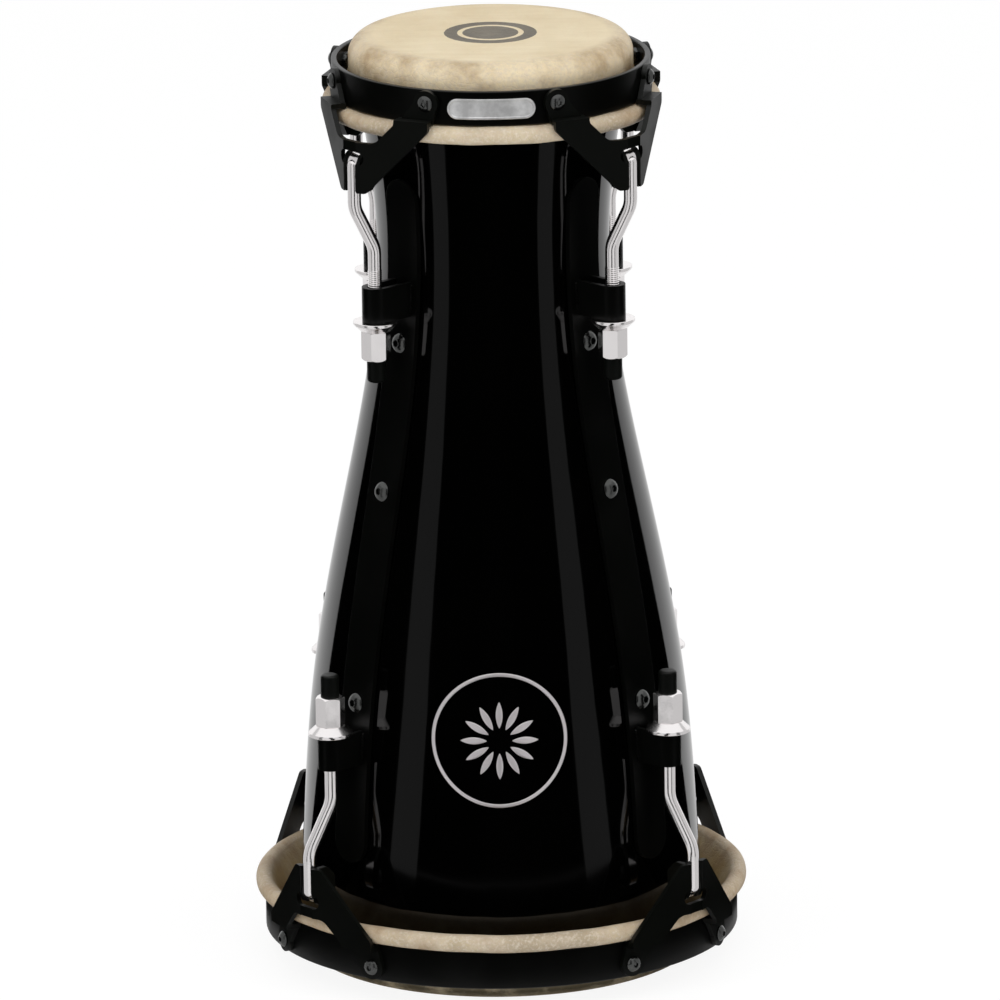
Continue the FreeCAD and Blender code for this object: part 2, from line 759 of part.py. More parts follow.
# Parts that turn or sit about a rod, made on the drum's axis from bound primitives.
def add_round_templates():
    """Washer, nut and cap stand on z = 0 in the order in which they follow the lug downwards."""
    rim = cylinder("washer_rim_disc", "[washer_radius]", "[washer_rim]", "-[washer_rim]")
    nose = doc.addObject("Part::Cone", "washer_nose")
    bind(
        nose,
        Radius1="[washer_nose_radius]",
        Radius2="[washer_radius]",
        Height="[washer_height] - [washer_rim]",
        Placement__Base__z="-[washer_height]",
    )
    washer_blank = doc.addObject("Part::MultiFuse", "washer_blank")
    washer_blank.Shapes = [rim, nose]
    washer_hole = cylinder("washer_hole", "[washer_hole_radius]", "[washer_height]", "-[washer_height]")
    cut("washer_template", washer_blank, washer_hole)

    prism = doc.addObject("Part::Prism", "nut_prism")
    prism.Polygon = 6
    bind(
        prism,
        Circumradius="[nut_flats] / 2 / cos(30)",
        Height="[nut_length]",
        Placement__Base__z="-[washer_height] - [nut_length]",
    )
    turned = cylinder(
        "nut_turned",
        "[nut_turned_radius]",
        "[nut_length]",
        "-[washer_height] - [nut_length]",
    )
    doc.recompute()
    rounded = doc.addObject("Part::Fillet", "nut_rounded")
    rounded.Base = turned
    rounded.Edges = [(lowest_circle(turned.Shape), size("nut_round"), size("nut_round"))]
    blank = doc.addObject("Part::Common", "nut_blank")
    blank.Base = prism
    blank.Tool = rounded
    bore = cylinder(
        "nut_bore",
        "[rod_radius] + [thread_clearance]",
        "[nut_length]",
        "-[washer_height] - [nut_length]",
    )
    cut("nut_template", blank, bore)

    cap_base = "-[washer_height] - [nut_length] - [cap_length]"
    cap_outside = cylinder("cap_outside", "[cap_radius]", "[cap_length]", cap_base)
    doc.recompute()
    cap_rounded = doc.addObject("Part::Fillet", "cap_rounded")
    cap_rounded.Base = cap_outside
    cap_rounded.Edges = [(lowest_circle(cap_outside.Shape), size("cap_round"), size("cap_round"))]
    cap_bore = cylinder(
        "cap_bore",
        "[cap_bore_radius]",
        "[cap_length] - [cap_end_wall]",
        cap_base + " + [cap_end_wall]",
    )
    cut("cap_template", cap_rounded, cap_bore)


def lowest_circle(shape):
    """Number of the round edge that lies lowest."""
    circles = [
        (edge.CenterOfMass.z, index)
        for index, edge in enumerate(shape.Edges, start=1)
        if isinstance(edge.Curve, Part.Circle)
    ]
    return min(circles)[1]


def on_rod(end, template):
    """A template moved to the rod at azimuth 0, under that end's lug."""
    shape = doc.getObject(template).Shape.copy()
    shape.translate(Vector(0, -size(f"{end}_rod_inner"), -size(f"{end}_lug_depth") - size("lug_height")))
    return at_end(end, shape)


# Blank plate on the front of the top hoop.
def badge():
    centre_z = height - sum(hoop_levels("top")) / 2
    half_w, half_h = size("badge_width") / 2, size("badge_height") / 2
    hoop_r = size("top_hoop_radius")
    straight = half_w - half_h
    block = Part.makeBox(2 * straight, hoop_r * 2, 2 * half_h, Vector(-straight, -2 * hoop_r, centre_z - half_h))
    ends = [
        cylinder_between(Vector(x, 0, centre_z), Vector(x, -2 * hoop_r, centre_z), half_h)
        for x in (-straight, straight)
    ]
    tall = 4 * half_h
    sheet_ring = Part.makeCylinder(hoop_r + size("badge_thickness"), tall, Vector(0, 0, centre_z - tall / 2))
    sheet_ring = sheet_ring.cut(Part.makeCylinder(hoop_r, tall, Vector(0, 0, centre_z - tall / 2)))
    return block.fuse(ends).common(sheet_ring)


def compound_around(shapes, azimuths):
    """All the given solids, repeated at each azimuth."""
    copies = []
    for azimuth in azimuths:
        for shape in shapes:
            copy = shape.copy()
            copy.Placement = around(azimuth).multiply(copy.Placement)
            copies.append(copy)
    return Part.makeCompound(copies)


shell_section = solid_feature("shell_section", shell_profile())
shell_blank = revolution("shell_blank", shell_section)
shell_drilling = compound_around(
    [
        cylinder_between(seat - normal * wall * 3, seat + normal * wall, size("bolt_hole_radius"))
        for seat, normal in bolt_seats(0)
    ],
    lug_azimuths,
)
cut("shell", shell_blank, solid_feature("shell_drilling", shell_drilling))
add_heads()
add_round_templates()
for hoop_end in ("top", "bottom"):
    add_hoop(hoop_end)
doc.recompute()

plate_core = bar_between(
    -size("plate_width") / 2,
    size("plate_thickness"),
    *plate_ends(),
    size("foot_edge_radius"),
)
nodes = [
    "shell",
    "top_skin",
    "bottom_skin",
    "top_flesh_hoop",
    "bottom_flesh_hoop",
    "top_hoop",
    "bottom_hoop",
]


def add_copies(name, shape):
    """One node at each lug azimuth, numbered round the drum."""
    for number, azimuth in enumerate(lug_azimuths, start=1):
        solid_feature(f"{name}_{number}", shape, around(azimuth))
        nodes.append(f"{name}_{number}")


def add_group(name, shape):
    solid_feature(name, shape)
    nodes.append(name)


add_copies("side_plate", side_plate())
for drum_end in ("top", "bottom"):
    add_copies(f"{drum_end}_bracket", at_end(drum_end, bracket(drum_end)))
    add_copies(f"{drum_end}_rod", at_end(drum_end, rod(drum_end)))
    add_copies(f"{drum_end}_lug", lug(drum_end))
    add_copies(f"{drum_end}_nut", on_rod(drum_end, "nut_template"))
    add_copies(f"{drum_end}_cap", on_rod(drum_end, "cap_template"))
    screws = [at_end(drum_end, solid) for solid in hoop_screw(drum_end)]
    add_group(f"{drum_end}_hoop_screws", compound_around(screws, screw_azimuths(drum_end)))
    pins = [at_end(drum_end, solid) for solid in bracket_pin(drum_end)]
    add_group(f"{drum_end}_bracket_pins", compound_around(pins, lug_azimuths))
washers = [on_rod(drum_end, "washer_template") for drum_end in ("top", "bottom")]
add_group("tuning_washers", compound_around(washers, lug_azimuths))
bolt_sets = [plate_bolt(seat, normal) for seat, normal in bolt_seats(0)]
add_group("plate_bolts", compound_around([parts[0] for parts in bolt_sets], lug_azimuths))
inside_parts = [solid for parts in bolt_sets for solid in parts[1:]]
add_group("plate_nuts", compound_around(inside_parts, lug_azimuths))
add_group("badge_plate", badge())
doc.recompute()

for feature in doc.Objects:
    if "Invalid" in feature.State or "Error" in feature.State:
        raise RuntimeError(f"{feature.Name} did not recompute")
for name in nodes:
    shape = doc.getObject(name).Shape
    if shape.isNull() or not shape.isValid() or not shape.Solids:
        raise RuntimeError(f"{name} has no valid solid")

os.makedirs("parts", exist_ok=True)
for name in nodes:
    node = doc.getObject(name)
    node.Label = name
    node.Shape.exportStep(os.path.join("parts", f"{name}.step"))
    print(name, len(node.Shape.Solids), round(node.Shape.Volume / 1000, 2), "cm3")
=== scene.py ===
"""The looks of a rod-tuned bata drum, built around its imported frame.

Lengths are metres and axes are the frame's own: Z up the drum, the front towards -Y.
"""

import bmesh
import bpy
import numpy as np
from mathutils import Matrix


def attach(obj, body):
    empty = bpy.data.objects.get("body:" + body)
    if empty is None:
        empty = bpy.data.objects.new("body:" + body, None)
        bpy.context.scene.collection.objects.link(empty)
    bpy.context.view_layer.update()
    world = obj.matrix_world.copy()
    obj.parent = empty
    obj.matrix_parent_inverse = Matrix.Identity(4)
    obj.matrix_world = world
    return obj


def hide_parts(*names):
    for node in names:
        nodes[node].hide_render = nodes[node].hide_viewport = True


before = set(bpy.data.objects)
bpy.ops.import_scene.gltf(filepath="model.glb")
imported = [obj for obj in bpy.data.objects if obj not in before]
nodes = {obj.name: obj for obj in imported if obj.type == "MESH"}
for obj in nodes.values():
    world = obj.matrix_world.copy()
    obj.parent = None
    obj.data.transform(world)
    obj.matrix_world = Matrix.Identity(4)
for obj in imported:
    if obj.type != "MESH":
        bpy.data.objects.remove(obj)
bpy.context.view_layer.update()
scene = bpy.context.scene
scene.view_settings.view_transform = "Standard"

# Camera
# A long lens on a stand in front of the drum and a little above it, looking down 15 degrees.
# It stands where the photograph's ellipses and outline put it.
CAMERA_AIM = np.array([0.00217, 0.0, 0.27894])
CAMERA_DISTANCE = 7.5
CAMERA_ELEVATION = np.radians(15.48)
CAMERA_ROLL = np.radians(-0.74)
CAMERA_LENS = 445.45
SENSOR_WIDTH = 36.0
CAMERA_REACH = 60.0

ahead = np.array([0.0, np.cos(CAMERA_ELEVATION), -np.sin(CAMERA_ELEVATION)])
level_right = np.array([1.0, 0.0, 0.0])
level_up = np.cross(level_right, ahead)
camera = bpy.data.objects.new("camera", bpy.data.cameras.new("camera"))
camera.data.lens = CAMERA_LENS
camera.data.sensor_width = SENSOR_WIDTH
camera.data.clip_end = CAMERA_REACH
placing = np.eye(4)
placing[:3, 0] = np.cos(CAMERA_ROLL) * level_right + np.sin(CAMERA_ROLL) * level_up
placing[:3, 1] = -np.sin(CAMERA_ROLL) * level_right + np.cos(CAMERA_ROLL) * level_up
placing[:3, 2] = -ahead
placing[:3, 3] = CAMERA_AIM - CAMERA_DISTANCE * ahead
camera.matrix_world = placing.T.tolist()
scene.collection.objects.link(camera)
scene.camera = camera


# Studio
# A white sweep with the drum on it, a softbox at each side and one overhead. Shiny surfaces also
# mirror dark cloth in front and at both sides, with a pale strip in it at each side, and bright
# metal mirrors its own fill light in that cloth.
def material(name):
    """A new material with an empty node tree: returns the material and its tree."""
    made = bpy.data.materials.new(name)
    made.use_nodes = True
    made.node_tree.nodes.clear()
    return made, made.node_tree


def add_node(tree, kind, inputs=None, **settings):
    """A shader node of the given kind, its settings set and its inputs linked or filled."""
    made = tree.nodes.new("ShaderNode" + kind)
    for name, value in settings.items():
        setattr(made, name, value)
    for name, value in (inputs or {}).items():
        if isinstance(value, bpy.types.NodeSocket):
            tree.links.new(value, made.inputs[name])
        else:
            made.inputs[name].default_value = value
    return made


def grid_mesh(name, grids, around=False, across=False):
    """One mesh over grids of points, each of rows by columns by xyz.

    Around joins each grid's last row to its first, across does the same with its columns.
    """
    points, faces, count = [], [], 0
    for grid in grids:
        rows, columns = grid.shape[:2]
        row = np.arange(rows if around else rows - 1)
        column = np.arange(columns if across else columns - 1)
        i, j = np.meshgrid(row, column, indexing="ij")
        i_next, j_next = (i + 1) % rows * columns, (j + 1) % columns
        i = i * columns
        faces.append(np.stack([i + j, i_next + j, i_next + j_next, i + j_next], axis=-1) + count)
        points.append(grid.reshape(-1, 3))
        count += rows * columns
    mesh = bpy.data.meshes.new(name)
    quads = np.concatenate([face.reshape(-1, 4) for face in faces])
    mesh.from_pydata(np.concatenate(points).tolist(), [], quads.tolist())
    return mesh


BRIGHT_FINISHES = ("chrome", "black_nickel", "silver_foil", "brushed_silver")
bright_metal = bpy.data.collections.new("bright_metal")


def piece(name, mesh, finish):
    """A smooth object for a mesh, at the origin, with one material. Bright metals are gathered."""
    made = bpy.data.objects.new(name, mesh)
    mesh.materials.append(finish)
    mesh.polygons.foreach_set("use_smooth", np.full(len(mesh.polygons), True))
    scene.collection.objects.link(made)
    if finish.name in BRIGHT_FINISHES:
        bright_metal.objects.link(made)
    return made


FLOOR_HALF = 12.0
FLOOR_WHITE = (0.95, 0.95, 0.95, 1.0)
FLOOR_WASH = 0.86
FLOOR_WASH_STRENGTH = 1.04
FLOOR_GAP = 0.0002
WHITE = (1.0, 1.0, 1.0, 1.0)

sweep, tree = material("white_sweep")
paper = add_node(tree, "BsdfDiffuse", {"Color": FLOOR_WHITE})
wash = add_node(tree, "Emission", {"Color": WHITE, "Strength": FLOOR_WASH_STRENGTH})
rays = add_node(tree, "LightPath")
washed = add_node(
    tree, "Math", {0: rays.outputs["Is Camera Ray"], 1: FLOOR_WASH}, operation="MULTIPLY"
)
both = add_node(
    tree, "MixShader", {0: washed.outputs[0], 1: paper.outputs[0], 2: wash.outputs[0]}
)
add_node(tree, "OutputMaterial", {"Surface": both.outputs[0]})
edge = np.array([-FLOOR_HALF, FLOOR_HALF])
floor_x, floor_y = np.meshgrid(edge, edge, indexing="ij")
floor_grid = np.stack([floor_x, floor_y, 0 * floor_x - FLOOR_GAP], axis=-1)
piece("floor", grid_mesh("floor", [floor_grid]), sweep)

AIR_LIGHT = 0.72
BACKDROP_LIGHT = 1.0
world = bpy.data.worlds.new("studio_air")
world.use_nodes = True
scene.world = world
tree = world.node_tree
tree.nodes.clear()
rays = add_node(tree, "LightPath")
mirrored = add_node(
    tree,
    "Math",
    {0: rays.outputs["Is Camera Ray"], 1: rays.outputs["Is Glossy Ray"]},
    operation="MAXIMUM",
)
seen = add_node(
    tree,
    "Math",
    {0: mirrored.outputs[0], 1: rays.outputs["Is Transmission Ray"]},
    operation="MAXIMUM",
)
air = add_node(tree, "Background", {"Color": WHITE, "Strength": AIR_LIGHT})
backdrop = add_node(tree, "Background", {"Color": WHITE, "Strength": BACKDROP_LIGHT})
both = add_node(tree, "MixShader", {0: seen.outputs[0], 1: air.outputs[0], 2: backdrop.outputs[0]})
add_node(tree, "OutputWorld", {"Surface": both.outputs[0]})


def softbox(name, place, aim, width, height, radiance):
    """A rectangular area lamp at place that faces aim; its power follows from its radiance."""
    lamp = bpy.data.lights.new(name, "AREA")
    lamp.shape = "RECTANGLE"
    lamp.size, lamp.size_y = width, height
    lamp.energy = radiance * np.pi * width * height
    made = bpy.data.objects.new(name, lamp)
    back = np.array(place, float) - np.array(aim, float)
    back /= np.linalg.norm(back)
    side = np.cross([0.0, 0.0, 1.0], back)
    side /= np.linalg.norm(side)
    turn = np.eye(4)
    turn[:3, 0], turn[:3, 1], turn[:3, 2], turn[:3, 3] = side, np.cross(back, side), back, place
    made.matrix_world = turn.T.tolist()
    made.visible_glossy = False
    scene.collection.objects.link(made)


SOFTBOX_AZIMUTH = 50.0
SOFTBOX_DISTANCE = 1.7
SOFTBOX_LEVEL = 0.95
SOFTBOX_AIM = (0.0, 0.0, 0.5)
SOFTBOX = {"width": 0.6, "height": 1.8, "radiance": 1.9}
OVERHEAD_PLACE = (0.0, -0.8, 2.3)
OVERHEAD_AIM = (0.0, 0.0, 0.4)
OVERHEAD = {"width": 1.8, "height": 1.8, "radiance": 1.15}

for side_name, azimuth in (("left", -SOFTBOX_AZIMUTH), ("right", SOFTBOX_AZIMUTH)):
    bearing = np.radians(azimuth)
    away_x, away_y = SOFTBOX_DISTANCE * np.sin(bearing), -SOFTBOX_DISTANCE * np.cos(bearing)
    softbox(f"softbox_{side_name}", (away_x, away_y, SOFTBOX_LEVEL), SOFTBOX_AIM, **SOFTBOX)
softbox("overhead", OVERHEAD_PLACE, OVERHEAD_AIM, **OVERHEAD)


def glowing(name, strength):
    """An even white glow for a reflector or a cloth."""
    made, tree = material(name)
    glow = add_node(tree, "Emission", {"Color": WHITE, "Strength": strength})
    add_node(tree, "OutputMaterial", {"Surface": glow.outputs[0]})
    return made


SCREEN_STEPS = 24


def mirrored_screen(name, strength, azimuths, reach, level):
    """A screen that only shiny surfaces see: a line of reach and level swept between two azimuths.

    Azimuths are in degrees, 0 on the camera's side, positive to its right. The light of a screen
    that is named a fill falls on the pieces of bright metal alone.
    """
    bearing = np.radians(np.linspace(*azimuths, SCREEN_STEPS))[:, None]
    out, up = np.array(reach)[None, :], np.array(level)[None, :] + 0 * bearing
    grid = np.stack([out * np.sin(bearing), -out * np.cos(bearing), up], axis=-1)
    screen = piece(name, grid_mesh(name, [grid]), glowing(name, strength))
    for ray_kind in ("camera", "diffuse", "transmission", "shadow", "volume_scatter"):
        setattr(screen, f"visible_{ray_kind}", False)
    if name.startswith("fill"):
        screen.light_linking.receiver_collection = bright_metal


# each screen lies on the floor from its near edge to its far one and stands up from there
CLOTH_NEAR, STRIP_NEAR, SCREEN_FAR, SCREEN_TOP = 0.17, 0.48, 3.4, 3.4
LYING, SEAM_LYING, SEAM_WIDTH = 0.002, 0.004, 0.012
TALL = ((CLOTH_NEAR, SCREEN_FAR, SCREEN_FAR), (LYING, LYING, SCREEN_TOP))
TALL_STRIP = ((STRIP_NEAR, SCREEN_FAR, SCREEN_FAR), (LYING, LYING, SCREEN_TOP))
BELOW_STRIP = ((CLOTH_NEAR, STRIP_NEAR), (LYING, LYING))
SEAM = ((STRIP_NEAR, STRIP_NEAR + SEAM_WIDTH), (SEAM_LYING, SEAM_LYING))
CAMERA_EDGE, STRIP_EDGE, STRIP_END, CLOTH_END = 9.0, 44.0, 60.0, 128.0
SCREENS = (
    ("black_cloth", 0.002, 0.0, CAMERA_EDGE, *TALL),
    ("fill_beside_camera", 0.75, CAMERA_EDGE, STRIP_EDGE, *TALL),
    ("fill_below_strip", 0.6, STRIP_EDGE, STRIP_END, *BELOW_STRIP),
    ("strip", 0.2, STRIP_EDGE, STRIP_END, *TALL_STRIP),
    ("fill_at_side", 0.6, STRIP_END, CLOTH_END, *TALL),
    ("cloth_seam", 0.1, 0.0, STRIP_EDGE, *SEAM),
)
for name, strength, first, last, reach, level in SCREENS:
    for side_name, side in (("left", -1), ("right", 1)):
        azimuths = (side * first, side * last)
        mirrored_screen(f"{name}_{side_name}", strength, azimuths, reach, level)


# Shell
# One hollow hourglass of glass fibre, laid up in a mould and polished to a deep black gloss.
# Its line runs from the wide foot to the waist and flares again below the small head.
SHELL_LINE = np.array(
    [
        [0.1243, 0.012],
        [0.1206, 0.070],
        [0.1134, 0.165],
        [0.0908, 0.2915],
        [0.0764, 0.3666],
        [0.0700, 0.437],
        [0.0842, 0.558],
    ]
)
SKIN_THICKNESS = 0.0015
EDGE_ROUND = 0.0105
EDGE_RING_WIDTH = 0.015
EDGE_RING_DEPTH = 0.0235
DRUM_HEIGHT = 0.570
SHELL_WALL = 0.006
ROUND_STEPS = 288
LINE_STEPS = 150
EDGE_STEPS = 12


def through(stations, steps):
    """A smooth line through the stations: a natural cubic spline over their chord lengths."""
    chord = np.append(0, np.cumsum(np.linalg.norm(np.diff(stations, axis=0), axis=1)))
    count, gap = len(chord), np.diff(chord)
    system, right = np.eye(count), np.zeros((count, 2))
    for k in range(1, count - 1):
        system[k, k - 1], system[k, k + 1] = gap[k - 1], gap[k]
        system[k, k] = 2 * (gap[k - 1] + gap[k])
        slopes = np.diff(stations[k - 1 : k + 2], axis=0) / gap[k - 1 : k + 1, None]
        right[k] = 6 * (slopes[1] - slopes[0])
    bend = np.linalg.solve(system, right)
    t = np.linspace(0, chord[-1], steps)
    k = np.clip(np.searchsorted(chord, t, side="right") - 1, 0, count - 2)
    a, b, h = (chord[k + 1] - t)[:, None], (t - chord[k])[:, None], gap[k][:, None]
    return (
        bend[k] * a**3 / (6 * h)
        + bend[k + 1] * b**3 / (6 * h)
        + (stations[k] / h - bend[k] * h / 6) * a
        + (stations[k + 1] / h - bend[k + 1] * h / 6) * b
    )


def spun(section):
    """The grid of a section of radius and height turned about Z; azimuth 0 is the front."""
    angle = np.linspace(0, 2 * np.pi, ROUND_STEPS, endpoint=False)[:, None]
    radius, level = section[:, 0][None, :], section[:, 1][None, :]
    return np.stack([radius * np.sin(angle), -radius * np.cos(angle), level + 0 * angle], axis=-1)


def closed(mesh):
    """Joins points that share a place and turns all faces outwards."""
    shape = bmesh.new()
    shape.from_mesh(mesh)
    bmesh.ops.remove_doubles(shape, verts=shape.verts, dist=1e-7)
    bmesh.ops.recalc_face_normals(shape, faces=shape.faces)
    shape.to_mesh(mesh)
    shape.free()
    return mesh


def arc(centre, radius, first, last, steps):
    """Points on an arc in the plane of radius and height, from angle first to last in degrees."""
    angle = np.radians(np.linspace(first, last, steps))
    return np.array(centre) + radius * np.stack([np.cos(angle), np.sin(angle)], axis=-1)


def group(name, inputs, outputs):
    """A shader node group with named sockets: returns it with its two end nodes."""
    made = bpy.data.node_groups.new(name, "ShaderNodeTree")
    for label, kind, value in inputs:
        socket = made.interface.new_socket(label, in_out="INPUT", socket_type=f"NodeSocket{kind}")
        socket.default_value = value
    for label, kind in outputs:
        made.interface.new_socket(label, in_out="OUTPUT", socket_type=f"NodeSocket{kind}")
    return made, made.nodes.new("NodeGroupInput"), made.nodes.new("NodeGroupOutput")


# handling marks, on every hard surface: faint dust and wiping in patches, over a fine grain
handled, ends_in, ends_out = group(
    "handling_marks",
    [
        ("Colour", "Color", (0.02, 0.02, 0.02, 1.0)),
        ("Dust Colour", "Color", (0.2, 0.19, 0.18, 1.0)),
        ("Dust", "Float", 0.02),
        ("Roughness", "Float", 0.3),
        ("Roughness Change", "Float", 0.1),
        ("Patch Scale", "Float", 30.0),
        ("Grain Scale", "Float", 900.0),
    ],
    [("Colour", "Color"), ("Roughness", "Float"), ("Height", "Float")],
)
where = add_node(handled, "TexCoord")
patches = add_node(
    handled,
    "TexNoise",
    {"Vector": where.outputs["Object"], "Scale": ends_in.outputs["Patch Scale"], "Detail": 5.0},
)
grain = add_node(
    handled,
    "TexNoise",
    {"Vector": where.outputs["Object"], "Scale": ends_in.outputs["Grain Scale"], "Detail": 2.0},
)
share = add_node(
    handled, "MapRange", {"Value": patches.outputs["Fac"], "From Min": 0.42, "From Max": 0.75}
)
dusty = add_node(
    handled, "Math", {0: share.outputs[0], 1: ends_in.outputs["Dust"]}, operation="MULTIPLY"
)
tone = add_node(
    handled,
    "Mix",
    {0: dusty.outputs[0], 6: ends_in.outputs["Colour"], 7: ends_in.outputs["Dust Colour"]},
    data_type="RGBA",
)
lift = add_node(
    handled,
    "Math",
    {0: share.outputs[0], 1: ends_in.outputs["Roughness Change"], 2: ends_in.outputs["Roughness"]},
    operation="MULTIPLY_ADD",
)
handled.links.new(tone.outputs[2], ends_out.inputs["Colour"])
handled.links.new(lift.outputs[0], ends_out.inputs["Roughness"])
handled.links.new(grain.outputs["Fac"], ends_out.inputs["Height"])


def hard_finish(name, colour, roughness, change, dust, grain_scale, depth, patch_scale=30.0, **own):
    """A hard surface's material: the handling marks over a colour, and the shader's own values."""
    made, tree = material(name)
    marks = tree.nodes.new("ShaderNodeGroup")
    marks.node_tree = handled
    marks.inputs["Colour"].default_value = (*colour, 1.0)
    marks.inputs["Dust"].default_value = dust
    marks.inputs["Roughness"].default_value = roughness
    marks.inputs["Roughness Change"].default_value = change
    marks.inputs["Patch Scale"].default_value = patch_scale
    marks.inputs["Grain Scale"].default_value = grain_scale
    bump = add_node(tree, "Bump", {"Height": marks.outputs["Height"], "Distance": depth})
    shader = add_node(
        tree,
        "BsdfPrincipled",
        {
            "Base Color": marks.outputs["Colour"],
            "Roughness": marks.outputs["Roughness"],
            "Normal": bump.outputs[0],
            **own,
        },
    )
    add_node(tree, "OutputMaterial", {"Surface": shader.outputs[0]})
    return made


gel_coat = hard_finish(
    "black_gel_coat",
    (0.0003, 0.0003, 0.0003),
    roughness=0.05,
    change=0.03,
    dust=0.001,
    grain_scale=14.0,
    depth=0.00025,
    patch_scale=9.0,
    IOR=1.5,
)
inside_coat = hard_finish(
    "raw_glass_fibre",
    (0.05, 0.045, 0.03),
    roughness=0.6,
    change=0.2,
    dust=0.1,
    grain_scale=300.0,
    depth=0.0003,
)

outer = through(SHELL_LINE, LINE_STEPS)
mouth_centre = (SHELL_LINE[-1, 0] - EDGE_ROUND, SHELL_LINE[-1, 1])
foot_centre = (SHELL_LINE[0, 0] - EDGE_ROUND, SHELL_LINE[0, 1])
mouth = arc(mouth_centre, EDGE_ROUND, 0, 90, EDGE_STEPS)
foot = arc(foot_centre, EDGE_ROUND, -90, 0, EDGE_STEPS)
inner = outer[::-1] - np.array([SHELL_WALL, 0.0])
low, high = EDGE_RING_DEPTH, DRUM_HEIGHT - EDGE_RING_DEPTH
inner = inner[(inner[:, 1] > low) & (inner[:, 1] < high)]
mouth_land = SHELL_LINE[-1, 0] - EDGE_RING_WIDTH
foot_land = SHELL_LINE[0, 0] - EDGE_RING_WIDTH
mouth_inside = [
    [mouth_land, DRUM_HEIGHT - SKIN_THICKNESS],
    [mouth_land, high + EDGE_RING_WIDTH / 2],
]
foot_inside = [[foot_land, low - EDGE_RING_WIDTH / 2], [foot_land, SKIN_THICKNESS]]
section = np.concatenate([foot[:-1], outer, mouth[1:], mouth_inside, inner, foot_inside])
shell_mesh = closed(grid_mesh("moulded_shell", [spun(section)], around=True, across=True))
shell = piece("moulded_shell", shell_mesh, gel_coat)
shell_mesh.materials.append(inside_coat)
centres = np.empty(len(shell_mesh.polygons) * 3)
facings = np.empty_like(centres)
shell_mesh.polygons.foreach_get("center", centres)
shell_mesh.polygons.foreach_get("normal", facings)
outwards = (centres.reshape(-1, 3) * facings.reshape(-1, 3))[:, :2].sum(axis=1)
faces_inwards = outwards < -1e-4
shell_mesh.polygons.foreach_set("material_index", faces_inwards.astype(np.int32))
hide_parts("shell")
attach(shell, "drum")

# Emblem on the shell
# A plain ring round a rosette of pointed petals, cut from thin silver foil and pressed on to the
# front of the shell over the gel coat.
EMBLEM_LEVEL = 0.1605
RING_RADIUS = 0.0397
RING_WIDTH = 0.0021
FOIL_HEIGHT = 0.00025
FOIL_SUNK = -0.0001
PETALS = 12
PETAL_FROM, PETAL_TO, PETAL_HALF = 0.0075, 0.0235, 0.0021
PETAL_FULLNESS = 0.8


def foil(across, up, name, around):
    """A thin foil on the front of the shell over a grid of flat points: its face and its rim."""
    layers = []
    for height in (FOIL_SUNK, FOIL_HEIGHT):
        z = EMBLEM_LEVEL + up
        radius = np.interp(z, outer[:, 1], outer[:, 0]) + height
        layers.append(np.stack([across, -np.sqrt(radius**2 - across**2), z], axis=-1))
    under, face = layers
    grid = np.concatenate([under[:, :1], face, under[:, -1:]], axis=1)
    return grid_mesh(name, [grid], around=around)


silver_foil = hard_finish(
    "silver_foil",
    (0.80, 0.76, 0.77),
    roughness=0.42,
    change=0.15,
    dust=0.05,
    grain_scale=700.0,
    depth=0.00001,
    Metallic=1.0,
)
turn = np.linspace(0, 2 * np.pi, 160, endpoint=False)[:, None]
ring_out = np.linspace(-RING_WIDTH / 2, RING_WIDTH / 2, 4)[None, :] + RING_RADIUS
foils = [foil(ring_out * np.cos(turn), ring_out * np.sin(turn), "emblem_ring", True)]
along = np.linspace(0.0, 1.0, 15)[:, None]
for number in range(PETALS):
    bearing = 2 * np.pi * number / PETALS
    reach = PETAL_FROM + (PETAL_TO - PETAL_FROM) * along
    side = np.linspace(-1, 1, 5)[None, :] * PETAL_HALF * np.sin(np.pi * along) ** PETAL_FULLNESS
    across = reach * np.sin(bearing) + side * np.cos(bearing)
    up = reach * np.cos(bearing) - side * np.sin(bearing)
    foils.append(foil(across, up, f"emblem_petal_{number + 1}", False))
for mesh in foils:
    mark = piece(mesh.name, closed(mesh), silver_foil)
    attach(mark, "drum")


# Heads
# One soaked hide over each end, dried hard: flat over the rounded edge, down the side, and out
# and round a steel flesh hoop, whose wrap the black hoop bears on. The hide is cream and mottled.
HEADS = {
    "top": {"edge": 0.0842, "hoop": (0.0963, 0.0403)},
    "bottom": {"edge": 0.1243, "hoop": (0.1443, 0.0426)},
}
COLLAR_ROUND = 0.005
COLLAR_STRAIGHT = 0.008
FLESH_WIRE = 0.0039
TUCK_ANGLE = 150.0
FACE, SIDE, CONE, WRAP = 0, 1, 2, 3
FACE_STEPS = 40
COLLAR_WAVES = ((0.00016, 9, 1.3), (0.00011, 17, 0.4), (0.00008, 31, 2.1))
WAVES_FROM, WAVES_GROW = 0.002, 0.01
BLEND_POINTS = 5


